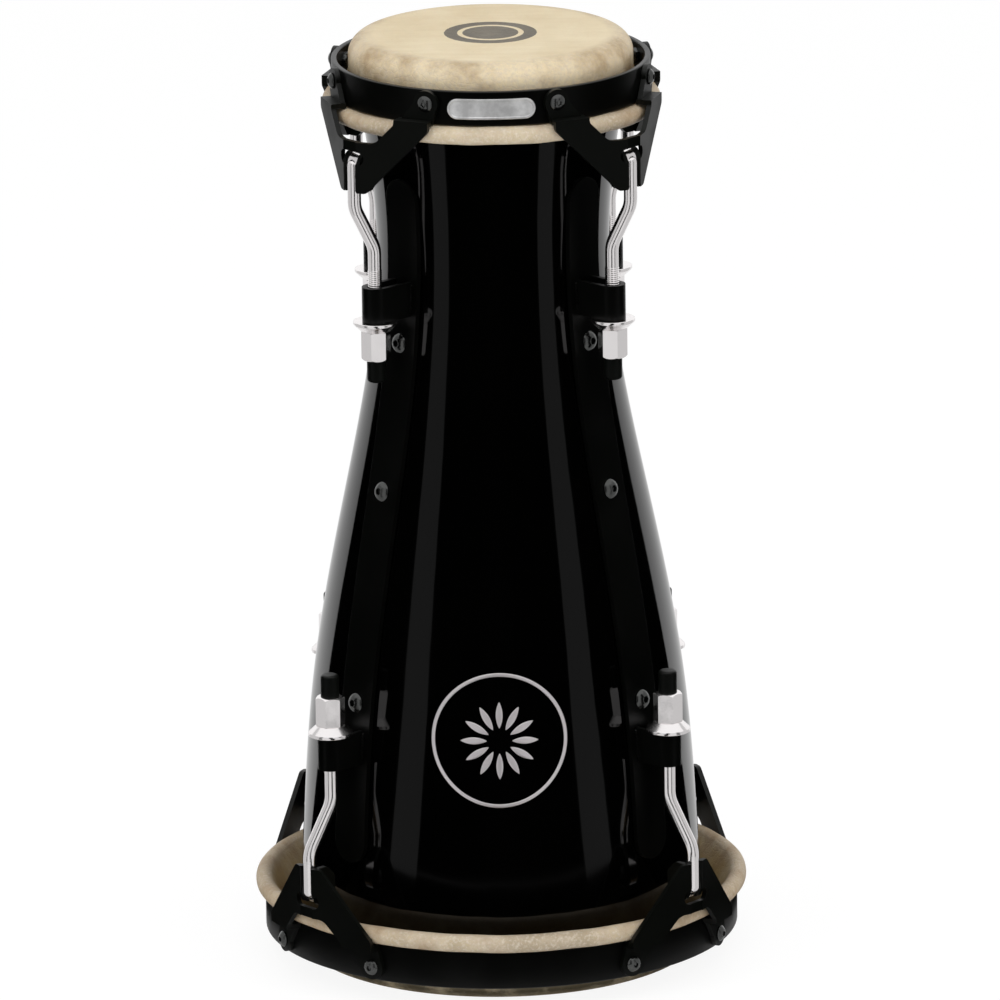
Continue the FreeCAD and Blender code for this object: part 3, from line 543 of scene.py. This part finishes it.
def hide_run(edge, hoop, offset):
    """The hide's line in section as radius and depth below its face, and what each point is on.

    It runs flat to the rounded edge, down, out along a cone and round the flesh hoop, each run a
    straight line or an arc that meets the next in line. Offset moves it to one side.
    """
    half = SKIN_THICKNESS / 2
    edge_centre = np.array([edge - EDGE_ROUND, -SKIN_THICKNESS - EDGE_ROUND])
    wall_end = np.array([edge + half, edge_centre[1] - COLLAR_STRAIGHT])
    ring_centre = np.array([hoop[0], -hoop[1]])
    wrap = FLESH_WIRE + half
    turn_centre = wall_end + [COLLAR_ROUND, 0]
    gap = ring_centre - turn_centre
    heading = np.degrees(np.arctan2(gap[1], gap[0]))
    touch = heading - np.degrees(np.arccos((COLLAR_ROUND - wrap) / np.hypot(*gap)))
    away = np.array([np.cos(np.radians(touch)), np.sin(np.radians(touch))])
    from_axis = np.linspace(0, edge_centre[0], FACE_STEPS)
    face = np.stack([from_axis, np.full(FACE_STEPS, offset - half)], axis=-1)
    wall = np.linspace(edge_centre + [EDGE_ROUND + half, 0], wall_end, 8) + [offset, 0]
    cone = np.linspace(turn_centre + away * COLLAR_ROUND, ring_centre + away * wrap, 14)
    parts = [
        (face, FACE),
        (arc(edge_centre, EDGE_ROUND + half + offset, 90, 0, 14)[1:], SIDE),
        (wall[1:], SIDE),
        (arc(turn_centre, COLLAR_ROUND - offset, 180, touch + 360, 10)[1:], CONE),
        ((cone - away * offset)[1:], CONE),
        (arc(ring_centre, wrap - offset, touch + 360, TUCK_ANGLE + 360, 40)[1:], WRAP),
    ]
    line = np.concatenate([points for points, _ in parts])
    kind = np.concatenate([np.full(len(points), value) for points, value in parts])
    return line, kind


def hide_mesh(name, edge, hoop, base, up):
    """The hide as a closed skin at a base height, facing up or down: two sides joined at the tuck.

    The collar and the wrap are pulled into small waves: a sum of sines of the azimuth, each of
    its own height, count and start, which grows from the shell's edge outwards.
    """
    upper, kind = hide_run(edge, hoop, SKIN_THICKNESS / 2)
    lower, _ = hide_run(edge, hoop, -SKIN_THICKNESS / 2)
    section = np.concatenate([upper, lower[::-1]])
    kind = np.concatenate([kind, kind[::-1]])
    grid = spun(section)
    angle = np.linspace(0, 2 * np.pi, ROUND_STEPS, endpoint=False)[:, None]
    past_edge = (section[:, 0] - edge - WAVES_FROM) / WAVES_GROW
    pull = np.clip(past_edge, 0, 1)[None, :] * (kind > SIDE)
    wave = sum(height * np.sin(count * angle + start) for height, count, start in COLLAR_WAVES)
    grid[..., 2] = base + up * (grid[..., 2] + wave * pull)
    mesh = grid_mesh(name, [grid], around=True)
    even = np.ones(BLEND_POINTS) / BLEND_POINTS
    places = {"hide_side": kind > FACE, "hide_cone": kind == CONE, "hide_wrap": kind == WRAP}
    for label, on_it in places.items():
        padded = np.pad(on_it.astype(float), BLEND_POINTS // 2, mode="edge")
        share = np.convolve(padded, even, mode="valid")
        values = np.tile(share, ROUND_STEPS).astype(np.float32)
        mesh.attributes.new(label, "FLOAT", "POINT").data.foreach_set("value", values)
    return mesh


hide, tree = material("cream_hide")
where = add_node(tree, "TexCoord")
HIDE_PALE = (0.77, 0.655, 0.445, 1.0)
HIDE_WARM = (0.61, 0.475, 0.285, 1.0)
HIDE_GREY = (0.58, 0.50, 0.41, 1.0)
HIDE_BROWN = (0.27, 0.165, 0.07, 1.0)
HIDE_OLIVE = (0.40, 0.265, 0.085, 1.0)
HIDE_TAN = (0.37, 0.30, 0.215, 1.0)
HIDE_CHALK = (0.80, 0.72, 0.60, 1.0)
# painted shade for the rim at the foot of the lower hide
FLOOR_RIM_SHADE = (0.045, 0.038, 0.017, 1.0)


def noise(scale, detail, vector=None):
    """Soft noise on object coordinates."""
    place = vector or where.outputs["Object"]
    inputs = {"Vector": place, "Scale": scale, "Detail": detail, "Roughness": 0.6}
    return add_node(tree, "TexNoise", inputs).outputs["Fac"]


def ramp(value, low, high, top=1.0):
    """0 below low, rising to top at high."""
    return add_node(
        tree, "MapRange", {"Value": value, "From Min": low, "From Max": high, "To Max": top}
    ).outputs[0]


def times(a, b):
    """The product of two values, kept from 0 to 1."""
    return add_node(tree, "Math", {0: a, 1: b}, operation="MULTIPLY", use_clamp=True).outputs[0]


def blend(share, first, second):
    """The first colour, with that share of the second."""
    return add_node(tree, "Mix", {0: share, 6: first, 7: second}, data_type="RGBA").outputs[2]


def place_on_hide(label):
    """1 on the side, cone or wrap that the mesh's attribute marks, fading to 0 round it."""
    return add_node(tree, "Attribute", attribute_name=label).outputs["Fac"]


stretched = add_node(
    tree, "Mapping", {"Vector": where.outputs["Object"], "Scale": (12.0, 150.0, 60.0)}
).outputs[0]
clouds, fibres = noise(20.0, 6.0), noise(1.0, 8.0, stretched)
pores, stains = noise(520.0, 4.0), noise(46.0, 7.0)
side, cone = place_on_hide("hide_side"), place_on_hide("hide_cone")
wrap = place_on_hide("hide_wrap")
spread = add_node(tree, "SeparateXYZ", {0: where.outputs["Object"]})
flank = add_node(tree, "Math", {0: spread.outputs["X"]}, operation="ABSOLUTE").outputs[0]
# painted shade with stain: how much brown the left and right flanks of the side take on
flank_shade_and_stain = times(ramp(flank, 0.045, 0.09), side)

# warm clouds and streaks all over, grey pores down the side, olive inside the collar, a tan and
# chalky wrap, and brown stains on the side; the left and right flanks get more brown in patches,
# which is painted shade as well as stain
colour = blend(ramp(clouds, 0.38, 0.7, 0.55), HIDE_PALE, HIDE_WARM)
colour = blend(ramp(fibres, 0.42, 0.72, 0.30), colour, HIDE_WARM)
colour = blend(times(ramp(pores, 0.38, 0.66), times(side, 0.6)), colour, HIDE_GREY)
colour = blend(times(cone, ramp(clouds, 0.25, 0.6, 0.92)), colour, HIDE_OLIVE)
colour = blend(times(wrap, ramp(clouds, 0.2, 0.6, 0.85)), colour, HIDE_TAN)
colour = blend(times(wrap, ramp(stains, 0.42, 0.62, 0.42)), colour, HIDE_CHALK)
colour = blend(times(wrap, ramp(pores, 0.48, 0.70, 0.5)), colour, HIDE_CHALK)
colour = blend(times(ramp(stains, 0.46, 0.72, 0.8), times(side, 0.8)), colour, HIDE_BROWN)
colour = blend(times(flank_shade_and_stain, ramp(stains, 0.25, 0.7, 0.62)), colour, HIDE_BROWN)

# the printed mark at the middle of the upper head: a plain dark disc with a pale ring in it
MARK_RADIUS = 0.0279
MARK_RING = (0.0168, 0.0200)
INK = (0.03, 0.029, 0.028, 1.0)
INK_BLEED = 0.0005
INK_DEPTH = 0.001
flat_place = add_node(
    tree, "VectorMath", {0: where.outputs["Object"], 1: (1.0, 1.0, 0.0)}, operation="MULTIPLY"
)
from_middle = add_node(tree, "VectorMath", {0: flat_place.outputs[0]}, operation="LENGTH")
ragged = add_node(tree, "MapRange", {"Value": pores, "To Min": -INK_BLEED, "To Max": INK_BLEED})
reach = add_node(
    tree, "Math", {0: from_middle.outputs["Value"], 1: ragged.outputs[0]}, operation="ADD"
)
upper_head = add_node(
    tree, "Math", {0: spread.outputs["Z"], 1: DRUM_HEIGHT - INK_DEPTH}, operation="GREATER_THAN"
)


def within(limit):
    """1 nearer to the axis than limit, 0 beyond it."""
    return add_node(tree, "Math", {0: reach.outputs[0], 1: limit}, operation="LESS_THAN").outputs[0]


pale_ring = add_node(
    tree, "Math", {0: within(MARK_RING[1]), 1: within(MARK_RING[0])}, operation="SUBTRACT"
)
disc = add_node(
    tree, "Math", {0: within(MARK_RADIUS), 1: pale_ring.outputs[0]}, operation="SUBTRACT"
)
cover = add_node(tree, "MapRange", {"Value": stains, "To Min": 0.97, "To Max": 0.72}).outputs[0]
ink = times(times(disc.outputs[0], upper_head.outputs[0]), cover)
colour = blend(ink, colour, INK)

# painted shade: the lowest, outermost rim of the lower hide is darkened to a deep olive brown in
# patches
low_down = ramp(spread.outputs["Z"], 0.020, 0.006)
outermost = ramp(from_middle.outputs["Value"], 0.117, 0.1235)
colour = blend(times(times(low_down, outermost), ramp(stains, 0.2, 0.5, 0.9)), colour, FLOOR_RIM_SHADE)

# pores, fibres and fine veins stand out a little
VEIN_SCALE = 240.0
HIDE_RELIEF = {"Distance": 0.00025, "Strength": 0.7}
veins = add_node(
    tree,
    "TexVoronoi",
    {"Vector": where.outputs["Object"], "Scale": VEIN_SCALE},
    feature="DISTANCE_TO_EDGE",
)
fine = add_node(tree, "Math", {0: pores, 1: fibres}, operation="ADD")
between_veins = ramp(veins.outputs["Distance"], 0.0, 0.1, 0.6)
relief = add_node(tree, "Math", {0: fine.outputs[0], 1: between_veins}, operation="ADD")
bump = add_node(tree, "Bump", {"Height": relief.outputs[0], **HIDE_RELIEF})
rough = add_node(tree, "MapRange", {"Value": clouds, "To Min": 0.42, "To Max": 0.62})
shader = add_node(
    tree,
    "BsdfPrincipled",
    {
        "Base Color": colour,
        "Roughness": rough.outputs[0],
        "Normal": bump.outputs[0],
        "IOR": 1.35,
        "Subsurface Weight": 0.08,
        "Subsurface Radius": (0.004, 0.002, 0.001),
        "Subsurface Scale": 0.4,
    },
)
add_node(tree, "OutputMaterial", {"Surface": shader.outputs[0]})

for end, base, up in (("top", DRUM_HEIGHT, 1), ("bottom", 0.0, -1)):
    sizes = HEADS[end]
    mesh = hide_mesh(f"{end}_hide", sizes["edge"], sizes["hoop"], base, up)
    head = piece(f"{end}_hide", closed(mesh), hide)
    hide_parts(f"{end}_skin")
    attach(head, "drum")


# Flesh hoops and hoops
# A plain steel ring rolled into each hide, and over it the hoop: flat bar rolled, welded to a
# ring and powder coated satin black. The CAD faces are smoothed where they meet gently.
CREASE_ANGLE = np.radians(32)
BREAK_ANGLE = np.radians(38)
MERGE_DISTANCE = 1e-6

smooth_by_angle = bpy.data.node_groups.new("smooth_by_angle", "GeometryNodeTree")
smooth_by_angle.interface.new_socket("Geometry", in_out="INPUT", socket_type="NodeSocketGeometry")
smooth_by_angle.interface.new_socket("Geometry", in_out="OUTPUT", socket_type="NodeSocketGeometry")
raw = smooth_by_angle.nodes.new("NodeGroupInput")
done = smooth_by_angle.nodes.new("NodeGroupOutput")
merge = smooth_by_angle.nodes.new("GeometryNodeMergeByDistance")
merge.inputs["Distance"].default_value = MERGE_DISTANCE
soften = smooth_by_angle.nodes.new("GeometryNodeSetShadeSmooth")
crease = smooth_by_angle.nodes.new("GeometryNodeSetShadeSmooth")
crease.domain = "EDGE"
between = smooth_by_angle.nodes.new("GeometryNodeInputMeshEdgeAngle")
gentle = smooth_by_angle.nodes.new("FunctionNodeCompare")
gentle.operation = "LESS_THAN"
gentle.inputs["B"].default_value = CREASE_ANGLE
links = smooth_by_angle.links
links.new(raw.outputs[0], merge.inputs["Geometry"])
links.new(merge.outputs["Geometry"], soften.inputs["Geometry"])
links.new(soften.outputs["Geometry"], crease.inputs["Geometry"])
links.new(between.outputs["Unsigned Angle"], gentle.inputs["A"])
links.new(gentle.outputs["Result"], crease.inputs["Shade Smooth"])
links.new(crease.outputs["Geometry"], done.inputs[0])


def dress(name, finish, broken_edge=0.0):
    """Gives a CAD node its material and smooth faces, and breaks its edges by that width."""
    part = nodes[name]
    if finish.name in BRIGHT_FINISHES:
        bright_metal.objects.link(part)
    part.data.materials.clear()
    part.data.materials.append(finish)
    part.modifiers.new("smooth_faces", "NODES").node_group = smooth_by_angle
    if broken_edge:
        rounding = part.modifiers.new("broken_edges", "BEVEL")
        rounding.width = broken_edge
        rounding.segments = 2
        rounding.limit_method = "ANGLE"
        rounding.angle_limit = BREAK_ANGLE


bare_steel = hard_finish(
    "plain_steel",
    (0.45, 0.45, 0.46),
    roughness=0.35,
    change=0.15,
    dust=0.05,
    grain_scale=600.0,
    depth=0.00002,
    Metallic=1.0,
)
powder_coat = hard_finish(
    "black_powder_coat",
    (0.0009, 0.0011, 0.0008),
    roughness=0.36,
    change=0.1,
    dust=0.002,
    grain_scale=1300.0,
    depth=0.00003,
    IOR=1.4,
)
for end in ("top", "bottom"):
    dress(f"{end}_flesh_hoop", bare_steel)
    dress(f"{end}_hoop", powder_coat)

# Brackets
# Two arms of bent strap from each rod's eye to the hoop, with a slot where the strap folds into
# the ears. They are powder coated too, in a black that is a little paler than the hoop's.
BRACKET_BREAK = 0.0006

bracket_coat = hard_finish(
    "bracket_coat",
    (0.0018, 0.0024, 0.0015),
    roughness=0.42,
    change=0.12,
    dust=0.003,
    grain_scale=1100.0,
    depth=0.00003,
    IOR=1.4,
)
for end in ("top", "bottom"):
    for number in range(1, 5):
        dress(f"{end}_bracket_{number}", bracket_coat, BRACKET_BREAK)

# Screws and pins
# Black-nickelled button-head screws with a hexagon socket hold each arm on its hoop, with a thin
# nut inside. A pin with such a head, and a domed cap nut at its other end, carries each rod's eye.
LUG_AZIMUTHS = (48.2, 131.8, 228.2, 311.8)
STRAP = 0.003
HOOPS = {
    "top": {"radius": 0.096, "spread": 24.85, "level": 0.548525, "pin": (0.1036, 0.507)},
    "bottom": {"radius": 0.1441, "spread": 15.75, "level": 0.022525, "pin": (0.1477, 0.0645)},
}
HOOP_BAR = 0.0035
SCREW = {"head": 0.0048, "rise": 0.0032, "socket": 0.0015, "shank": 0.0025}
PIN = {"head": 0.0043, "rise": 0.0038, "socket": 0.0015, "shank": 0.003}
SCREW_NUT = {"half_flats": 0.004, "height": 0.0027}
PIN_SEAT = 0.0073
STUB = 0.0015
SOCKET_EDGE = 0.0001
TURNED_STEPS = 48


def turned(rings, place, direction, roll=0.0):
    """A turned or hexagonal part along a direction: rings of radius, height and how hexagonal.

    At 1 the radius is half the width across flats, and the corners stand beyond it.
    """
    axis = np.array(direction, float) / np.linalg.norm(direction)
    first = np.cross(axis, [0.0, 0.0, 1.0])
    first /= np.linalg.norm(first)
    second = np.cross(axis, first)
    angle = np.linspace(0, 2 * np.pi, TURNED_STEPS, endpoint=False)[:, None]
    sextant = np.mod(angle + roll, np.pi / 3) - np.pi / 6
    radius, height, flat = np.array(rings, float).T[:, None, :]
    radius = radius * (1 + flat * (1 / np.cos(sextant) - 1))
    out = radius * np.cos(angle)
    over = radius * np.sin(angle)
    return (
        np.array(place)
        + out[..., None] * first
        + over[..., None] * second
        + (height + 0 * angle)[..., None] * axis
    )


def button_head(radius, rise, socket, shank):
    """Rings of a domed head with a hexagon socket, and a stub of shank below its seat.

    The dome is part of a ball that passes through the head's rim and its top.
    """
    land = rise / 4
    dome = rise - land
    ball = (radius**2 + dome**2) / (2 * dome)
    out = np.linspace(radius, socket * 1.25, 9)
    domed = [(r, rise - ball + np.sqrt(ball**2 - r**2), 0) for r in out]
    rim = domed[-1][1]
    return [
        (0, -STUB, 0),
        (shank, -STUB, 0),
        (shank, 0, 0),
        (radius * 0.97, 0, 0),
        (radius, land * 0.4, 0),
        *domed,
        (socket, rim - SOCKET_EDGE, 1),
        (socket, rise * 0.3, 1),
        (socket * 0.5, rise * 0.22, 0),
        (0, rise * 0.18, 0),
    ]


def cap_dome(radius, rise):
    """Rings of a plain domed cap nut."""
    turn = np.radians(np.linspace(0, 90, 9))
    land = rise / 4
    domed = [(radius * np.cos(a), land + (rise - land) * np.sin(a), 0) for a in turn]
    return [(0, 0, 0), (radius * 0.97, 0, 0), *domed]


def thin_nut(half_flats, height, shank):
    """Rings of a chamfered nut with the end of its screw standing a little out of it."""
    return [
        (0, 0, 0),
        (half_flats, 0, 1),
        (half_flats, height * 0.82, 1),
        (half_flats * 0.98, height, 0),
        (shank * 1.05, height, 0),
        (shank, height * 0.9, 0),
        (shank, height * 1.1, 0),
        (shank * 0.85, height * 1.2, 0),
        (0, height * 1.2, 0),
    ]


def outward(azimuth):
    """The level direction away from the drum's axis at an azimuth in degrees, 0 at the front."""
    return np.array([np.sin(np.radians(azimuth)), -np.cos(np.radians(azimuth)), 0.0])


def sharp_where_bent(part):
    """Keeps edges sharper than the crease angle crisp and the rest smooth."""
    part.modifiers.new("smooth_faces", "NODES").node_group = smooth_by_angle
    return part


black_nickel = hard_finish(
    "black_nickel",
    (0.09, 0.092, 0.09),
    roughness=0.2,
    change=0.12,
    dust=0.02,
    grain_scale=500.0,
    depth=0.00001,
    Metallic=1.0,
)
for end, hoop in HOOPS.items():
    body = f"{end}_hoop_assembly"
    screws, pins = [], []
    for lug_azimuth in LUG_AZIMUTHS:
        arms = (lug_azimuth - hoop["spread"], lug_azimuth + hoop["spread"])
        for number, azimuth in enumerate(arms):
            away = outward(azimuth)
            seat = away * (hoop["radius"] + STRAP) + [0, 0, hoop["level"]]
            inside = hoop["radius"] - HOOP_BAR
            inside = np.sqrt(inside**2 - SCREW_NUT["half_flats"] ** 2)
            roll = np.radians(lug_azimuth * 7 + number * 23)
            screws.append(turned(button_head(*SCREW.values()), seat, away, roll))
            nut_seat = away * inside + [0, 0, hoop["level"]]
            nut = thin_nut(*SCREW_NUT.values(), SCREW["shank"])
            screws.append(turned(nut, nut_seat, -away, roll))
        pin_radius, pin_level = hoop["pin"]
        middle = outward(lug_azimuth) * pin_radius + [0, 0, pin_level]
        across = np.cross([0.0, 0.0, 1.0], outward(lug_azimuth))
        shank = [
            (0, -PIN_SEAT, 0),
            (PIN["shank"], -PIN_SEAT, 0),
            (PIN["shank"], PIN_SEAT, 0),
            (0, PIN_SEAT, 0),
        ]
        pins.append(turned(button_head(*PIN.values()), middle + across * PIN_SEAT, across))
        pins.append(turned(cap_dome(PIN["head"], PIN["rise"]), middle - across * PIN_SEAT, -across))
        pins.append(turned(shank, middle, across))
    for label, grids in (("hoop_screws", screws), ("bracket_pins", pins)):
        name = f"{end}_socket_{label}"
        mesh = closed(grid_mesh(name, grids, around=True))
        part = sharp_where_bent(piece(name, mesh, black_nickel))
        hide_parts(f"{end}_{label}")
        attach(part, body)

# Tuning rods
# Round bar forged to an eye, joggled in under the hoop and chromed. The thread is rolled on, so it
# stands a little proud of the bar; it shows above each lug.
chrome = hard_finish(
    "chrome",
    (0.90, 0.87, 0.87),
    roughness=0.12,
    change=0.14,
    dust=0.02,
    grain_scale=260.0,
    depth=0.00002,
    patch_scale=60.0,
    Metallic=1.0,
)
THREAD_PITCH = 0.00125
THREAD_ROOT, THREAD_CREST = 0.0039, 0.00435
THREAD_LENGTH = 0.019
RIDGE_STEPS, TURN_STEPS = 8, 32
ROD_BREAK = 0.0008
# the rods' distance from the drum's axis, the level where the thread starts, and which way it runs
RODS = {"top": (0.0951, 0.441, -1), "bottom": (0.1362, 0.148, 1)}


def rolled_thread(centre, level, down):
    """A helical ridge about a rod: its radius follows a rounded wave of height less turns."""
    steps = int(THREAD_LENGTH / THREAD_PITCH * RIDGE_STEPS)
    rise = np.linspace(0, THREAD_LENGTH, steps)[None, :]
    angle = np.linspace(0, 2 * np.pi, TURN_STEPS, endpoint=False)[:, None]
    wave = 0.5 + 0.5 * np.cos(2 * np.pi * rise / THREAD_PITCH - angle)
    ends = np.clip(np.minimum(rise, THREAD_LENGTH - rise) / THREAD_PITCH, 0, 1)
    radius = THREAD_ROOT + (THREAD_CREST - THREAD_ROOT) * wave * ends
    return np.stack(
        [
            centre[0] + radius * np.cos(angle),
            centre[1] + radius * np.sin(angle),
            level + down * rise + 0 * angle,
        ],
        axis=-1,
    )


for end, (rod_radius, level, down) in RODS.items():
    grids = [rolled_thread(outward(azimuth) * rod_radius, level, down) for azimuth in LUG_AZIMUTHS]
    name = f"{end}_rod_threads"
    threads = piece(name, closed(grid_mesh(name, grids, around=True)), chrome)
    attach(threads, f"{end}_hoop_assembly")
    for number in range(1, 5):
        dress(f"{end}_rod_{number}", chrome, ROD_BREAK)

# Side plates and lugs
# Flat bar bent to the shell's line, rounded at both ends and powder coated black. Each lug is a
# strap bent round its rod and welded to the plate along both legs.
PLATE_THICKNESS = 0.003
LUG_OUTER = 0.008
LUGS = {"top": (0.409, 0.430), "bottom": (0.138, 0.159)}
BAR_BREAK = 0.0005
BEAD = 0.0011
BEAD_INSET = 0.001
RIPPLE, RIPPLE_RATE = 0.12, 60
BEAD_TAPER = 6


def weld_beads(azimuth, low, high):
    """A bead down each side of a lug where it meets the plate.

    It is a round run whose radius ripples as a sine of the way along and closes at both ends.
    """
    along = np.linspace(0, 1, 60)[None, :]
    angle = np.linspace(0, 2 * np.pi, 14, endpoint=False)[:, None]
    level = low + BEAD_INSET + (high - low - 2 * BEAD_INSET) * along
    taper = np.sqrt(np.clip(np.sin(np.pi * along) * BEAD_TAPER, 0, 1))
    radius = BEAD * (1 + RIPPLE * np.sin(along * RIPPLE_RATE)) * taper
    seat = np.interp(level, outer[:, 1], outer[:, 0]) + PLATE_THICKNESS
    away, across = outward(azimuth), np.cross([0.0, 0.0, 1.0], outward(azimuth))
    beads = []
    for side in (-1, 1):
        out = seat + radius * np.cos(angle)
        over = side * LUG_OUTER + radius * np.sin(angle)
        height = (level + 0 * angle)[..., None] * [0, 0, 1]
        beads.append(out[..., None] * away + over[..., None] * across + height)
    return beads


for number in range(1, 5):
    dress(f"side_plate_{number}", powder_coat, BAR_BREAK)
for end, (low, high) in LUGS.items():
    beads = [bead for azimuth in LUG_AZIMUTHS for bead in weld_beads(azimuth, low, high)]
    name = f"{end}_lug_welds"
    welds = piece(name, closed(grid_mesh(name, beads, around=True)), powder_coat)
    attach(welds, "drum")
    for number in range(1, 5):
        dress(f"{end}_lug_{number}", powder_coat, BAR_BREAK)

# Plate bolts
# Black-nickelled button-head bolts, bigger than the hoop's screws, hold each side plate through
# the shell, with a plain steel washer and nut inside.
NUT_BREAK = 0.0003
BOLT = {"head": 0.006, "rise": 0.004, "socket": 0.002, "shank": 0.003}
BOLT_LEVELS = (0.391, 0.3014, 0.1742)
slope = np.gradient(outer[:, 0], outer[:, 1])
bolts = []
for azimuth in LUG_AZIMUTHS:
    for number, level in enumerate(BOLT_LEVELS):
        normal = outward(azimuth) - [0, 0, np.interp(level, outer[:, 1], slope)]
        normal /= np.linalg.norm(normal)
        seat = outward(azimuth) * np.interp(level, outer[:, 1], outer[:, 0]) + [0, 0, level]
        seat = seat + normal * PLATE_THICKNESS
        bolts.append(turned(button_head(*BOLT.values()), seat, normal, azimuth * 3 + number))
bolts = closed(grid_mesh("socket_plate_bolts", bolts, around=True))
bolt_heads = sharp_where_bent(piece("socket_plate_bolts", bolts, black_nickel))
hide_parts("plate_bolts")
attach(bolt_heads, "drum")
dress("plate_nuts", bare_steel, NUT_BREAK)

# Washers, nuts and caps
# A dished washer and a long hexagon nut on each rod, turned from steel and chromed, draw the rod
# through its lug. A moulded black rubber cap is pushed over the rod's end.
WASHER_BREAK = 0.0004

black_rubber = hard_finish(
    "black_rubber",
    (0.0025, 0.0032, 0.0025),
    roughness=0.4,
    change=0.15,
    dust=0.004,
    grain_scale=900.0,
    depth=0.00003,
    IOR=1.4,
)
dress("tuning_washers", chrome, WASHER_BREAK)
for end in ("top", "bottom"):
    for number in range(1, 5):
        dress(f"{end}_nut_{number}", chrome, NUT_BREAK)
        dress(f"{end}_cap_{number}", black_rubber, NUT_BREAK)

# Badge plate
# A blank plate of brushed silver metal, bent to the hoop's round and fixed flat on its front. It
# is pressed so that a narrow rim stands round its field.
BADGE_WIDTH, BADGE_HEIGHT = 0.053, 0.0125
BADGE_LEVEL = 0.5459
BADGE_THICKNESS = 0.001
BADGE_RIM = 0.0013
FIELD_DEPTH = 0.0004
FACE_EDGE, FIELD_SLOPE = 0.0003, 0.0004
END_STEPS, SIDE_STEPS = 40, 12
STROKES = (40.0, 40.0, 3500.0)
SILVER = {"To Min": 0.62, "To Max": 0.9}

brushed, tree = material("brushed_silver")
where = add_node(tree, "TexCoord")
lines = add_node(tree, "Mapping", {"Vector": where.outputs["Object"], "Scale": STROKES})
strokes = add_node(tree, "TexNoise", {"Vector": lines.outputs[0], "Scale": 1.0, "Detail": 6.0})
blotches = add_node(
    tree, "TexNoise", {"Vector": where.outputs["Object"], "Scale": 160.0, "Detail": 4.0}
)
shade = add_node(
    tree,
    "MapRange",
    {"Value": blotches.outputs["Fac"], "From Min": 0.35, "From Max": 0.7, **SILVER},
)
gloss = add_node(tree, "MapRange", {"Value": strokes.outputs["Fac"], "To Min": 0.3, "To Max": 0.6})
bump = add_node(tree, "Bump", {"Height": strokes.outputs["Fac"], "Distance": 0.00003})
shader = add_node(
    tree,
    "BsdfPrincipled",
    {
        "Base Color": shade.outputs[0],
        "Roughness": gloss.outputs[0],
        "Normal": bump.outputs[0],
        "Metallic": 1.0,
    },
)
add_node(tree, "OutputMaterial", {"Surface": shader.outputs[0]})


def stadium(inset):
    """A closed line round the badge, inset from its edge: two half circles and two straights."""
    radius = BADGE_HEIGHT / 2 - inset
    straight = (BADGE_WIDTH - BADGE_HEIGHT) / 2
    turn = np.linspace(-np.pi / 2, np.pi / 2, END_STEPS)
    right = np.stack([straight + radius * np.cos(turn), radius * np.sin(turn)], axis=-1)
    line = np.concatenate([right, -right])
    between = np.linspace(0, 1, SIDE_STEPS, endpoint=False)[:, None]
    top = right[-1] + (line[END_STEPS] - right[-1]) * between
    bottom = line[-1] + (right[0] - line[-1]) * between
    return np.concatenate([right[:-1], top, line[END_STEPS:-1], bottom])


# the badge in section, from its back edge to its field: inset from the outline, and height
badge_steps = [
    (0.0, 0.0),
    (0.0, BADGE_THICKNESS * 0.7),
    (FACE_EDGE, BADGE_THICKNESS),
    (BADGE_RIM, BADGE_THICKNESS),
    (BADGE_RIM + FIELD_SLOPE, BADGE_THICKNESS - FIELD_DEPTH),
]
rings = [(stadium(inset), height) for inset, height in badge_steps]
field = rings[-1][0]
rings += [(field * share, badge_steps[-1][1]) for share in (0.8, 0.5, 0.2, 0.0)]
back = [(rings[0][0] * share, 0.0) for share in (0.0, 0.4, 0.8)]
hoop_radius = HOOPS["top"]["radius"]
columns = []
for flat, height in back + rings:
    radius = hoop_radius + height
    bearing = flat[:, 0] / hoop_radius
    level = BADGE_LEVEL + flat[:, 1]
    columns.append(np.stack([radius * np.sin(bearing), -radius * np.cos(bearing), level], axis=-1))
badge_grid = np.stack(columns, axis=1)
badge_mesh = closed(grid_mesh("blank_badge", [badge_grid], around=True))
badge = sharp_where_bent(piece("blank_badge", badge_mesh, brushed))
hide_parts("badge_plate")
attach(badge, "top_hoop_assembly")
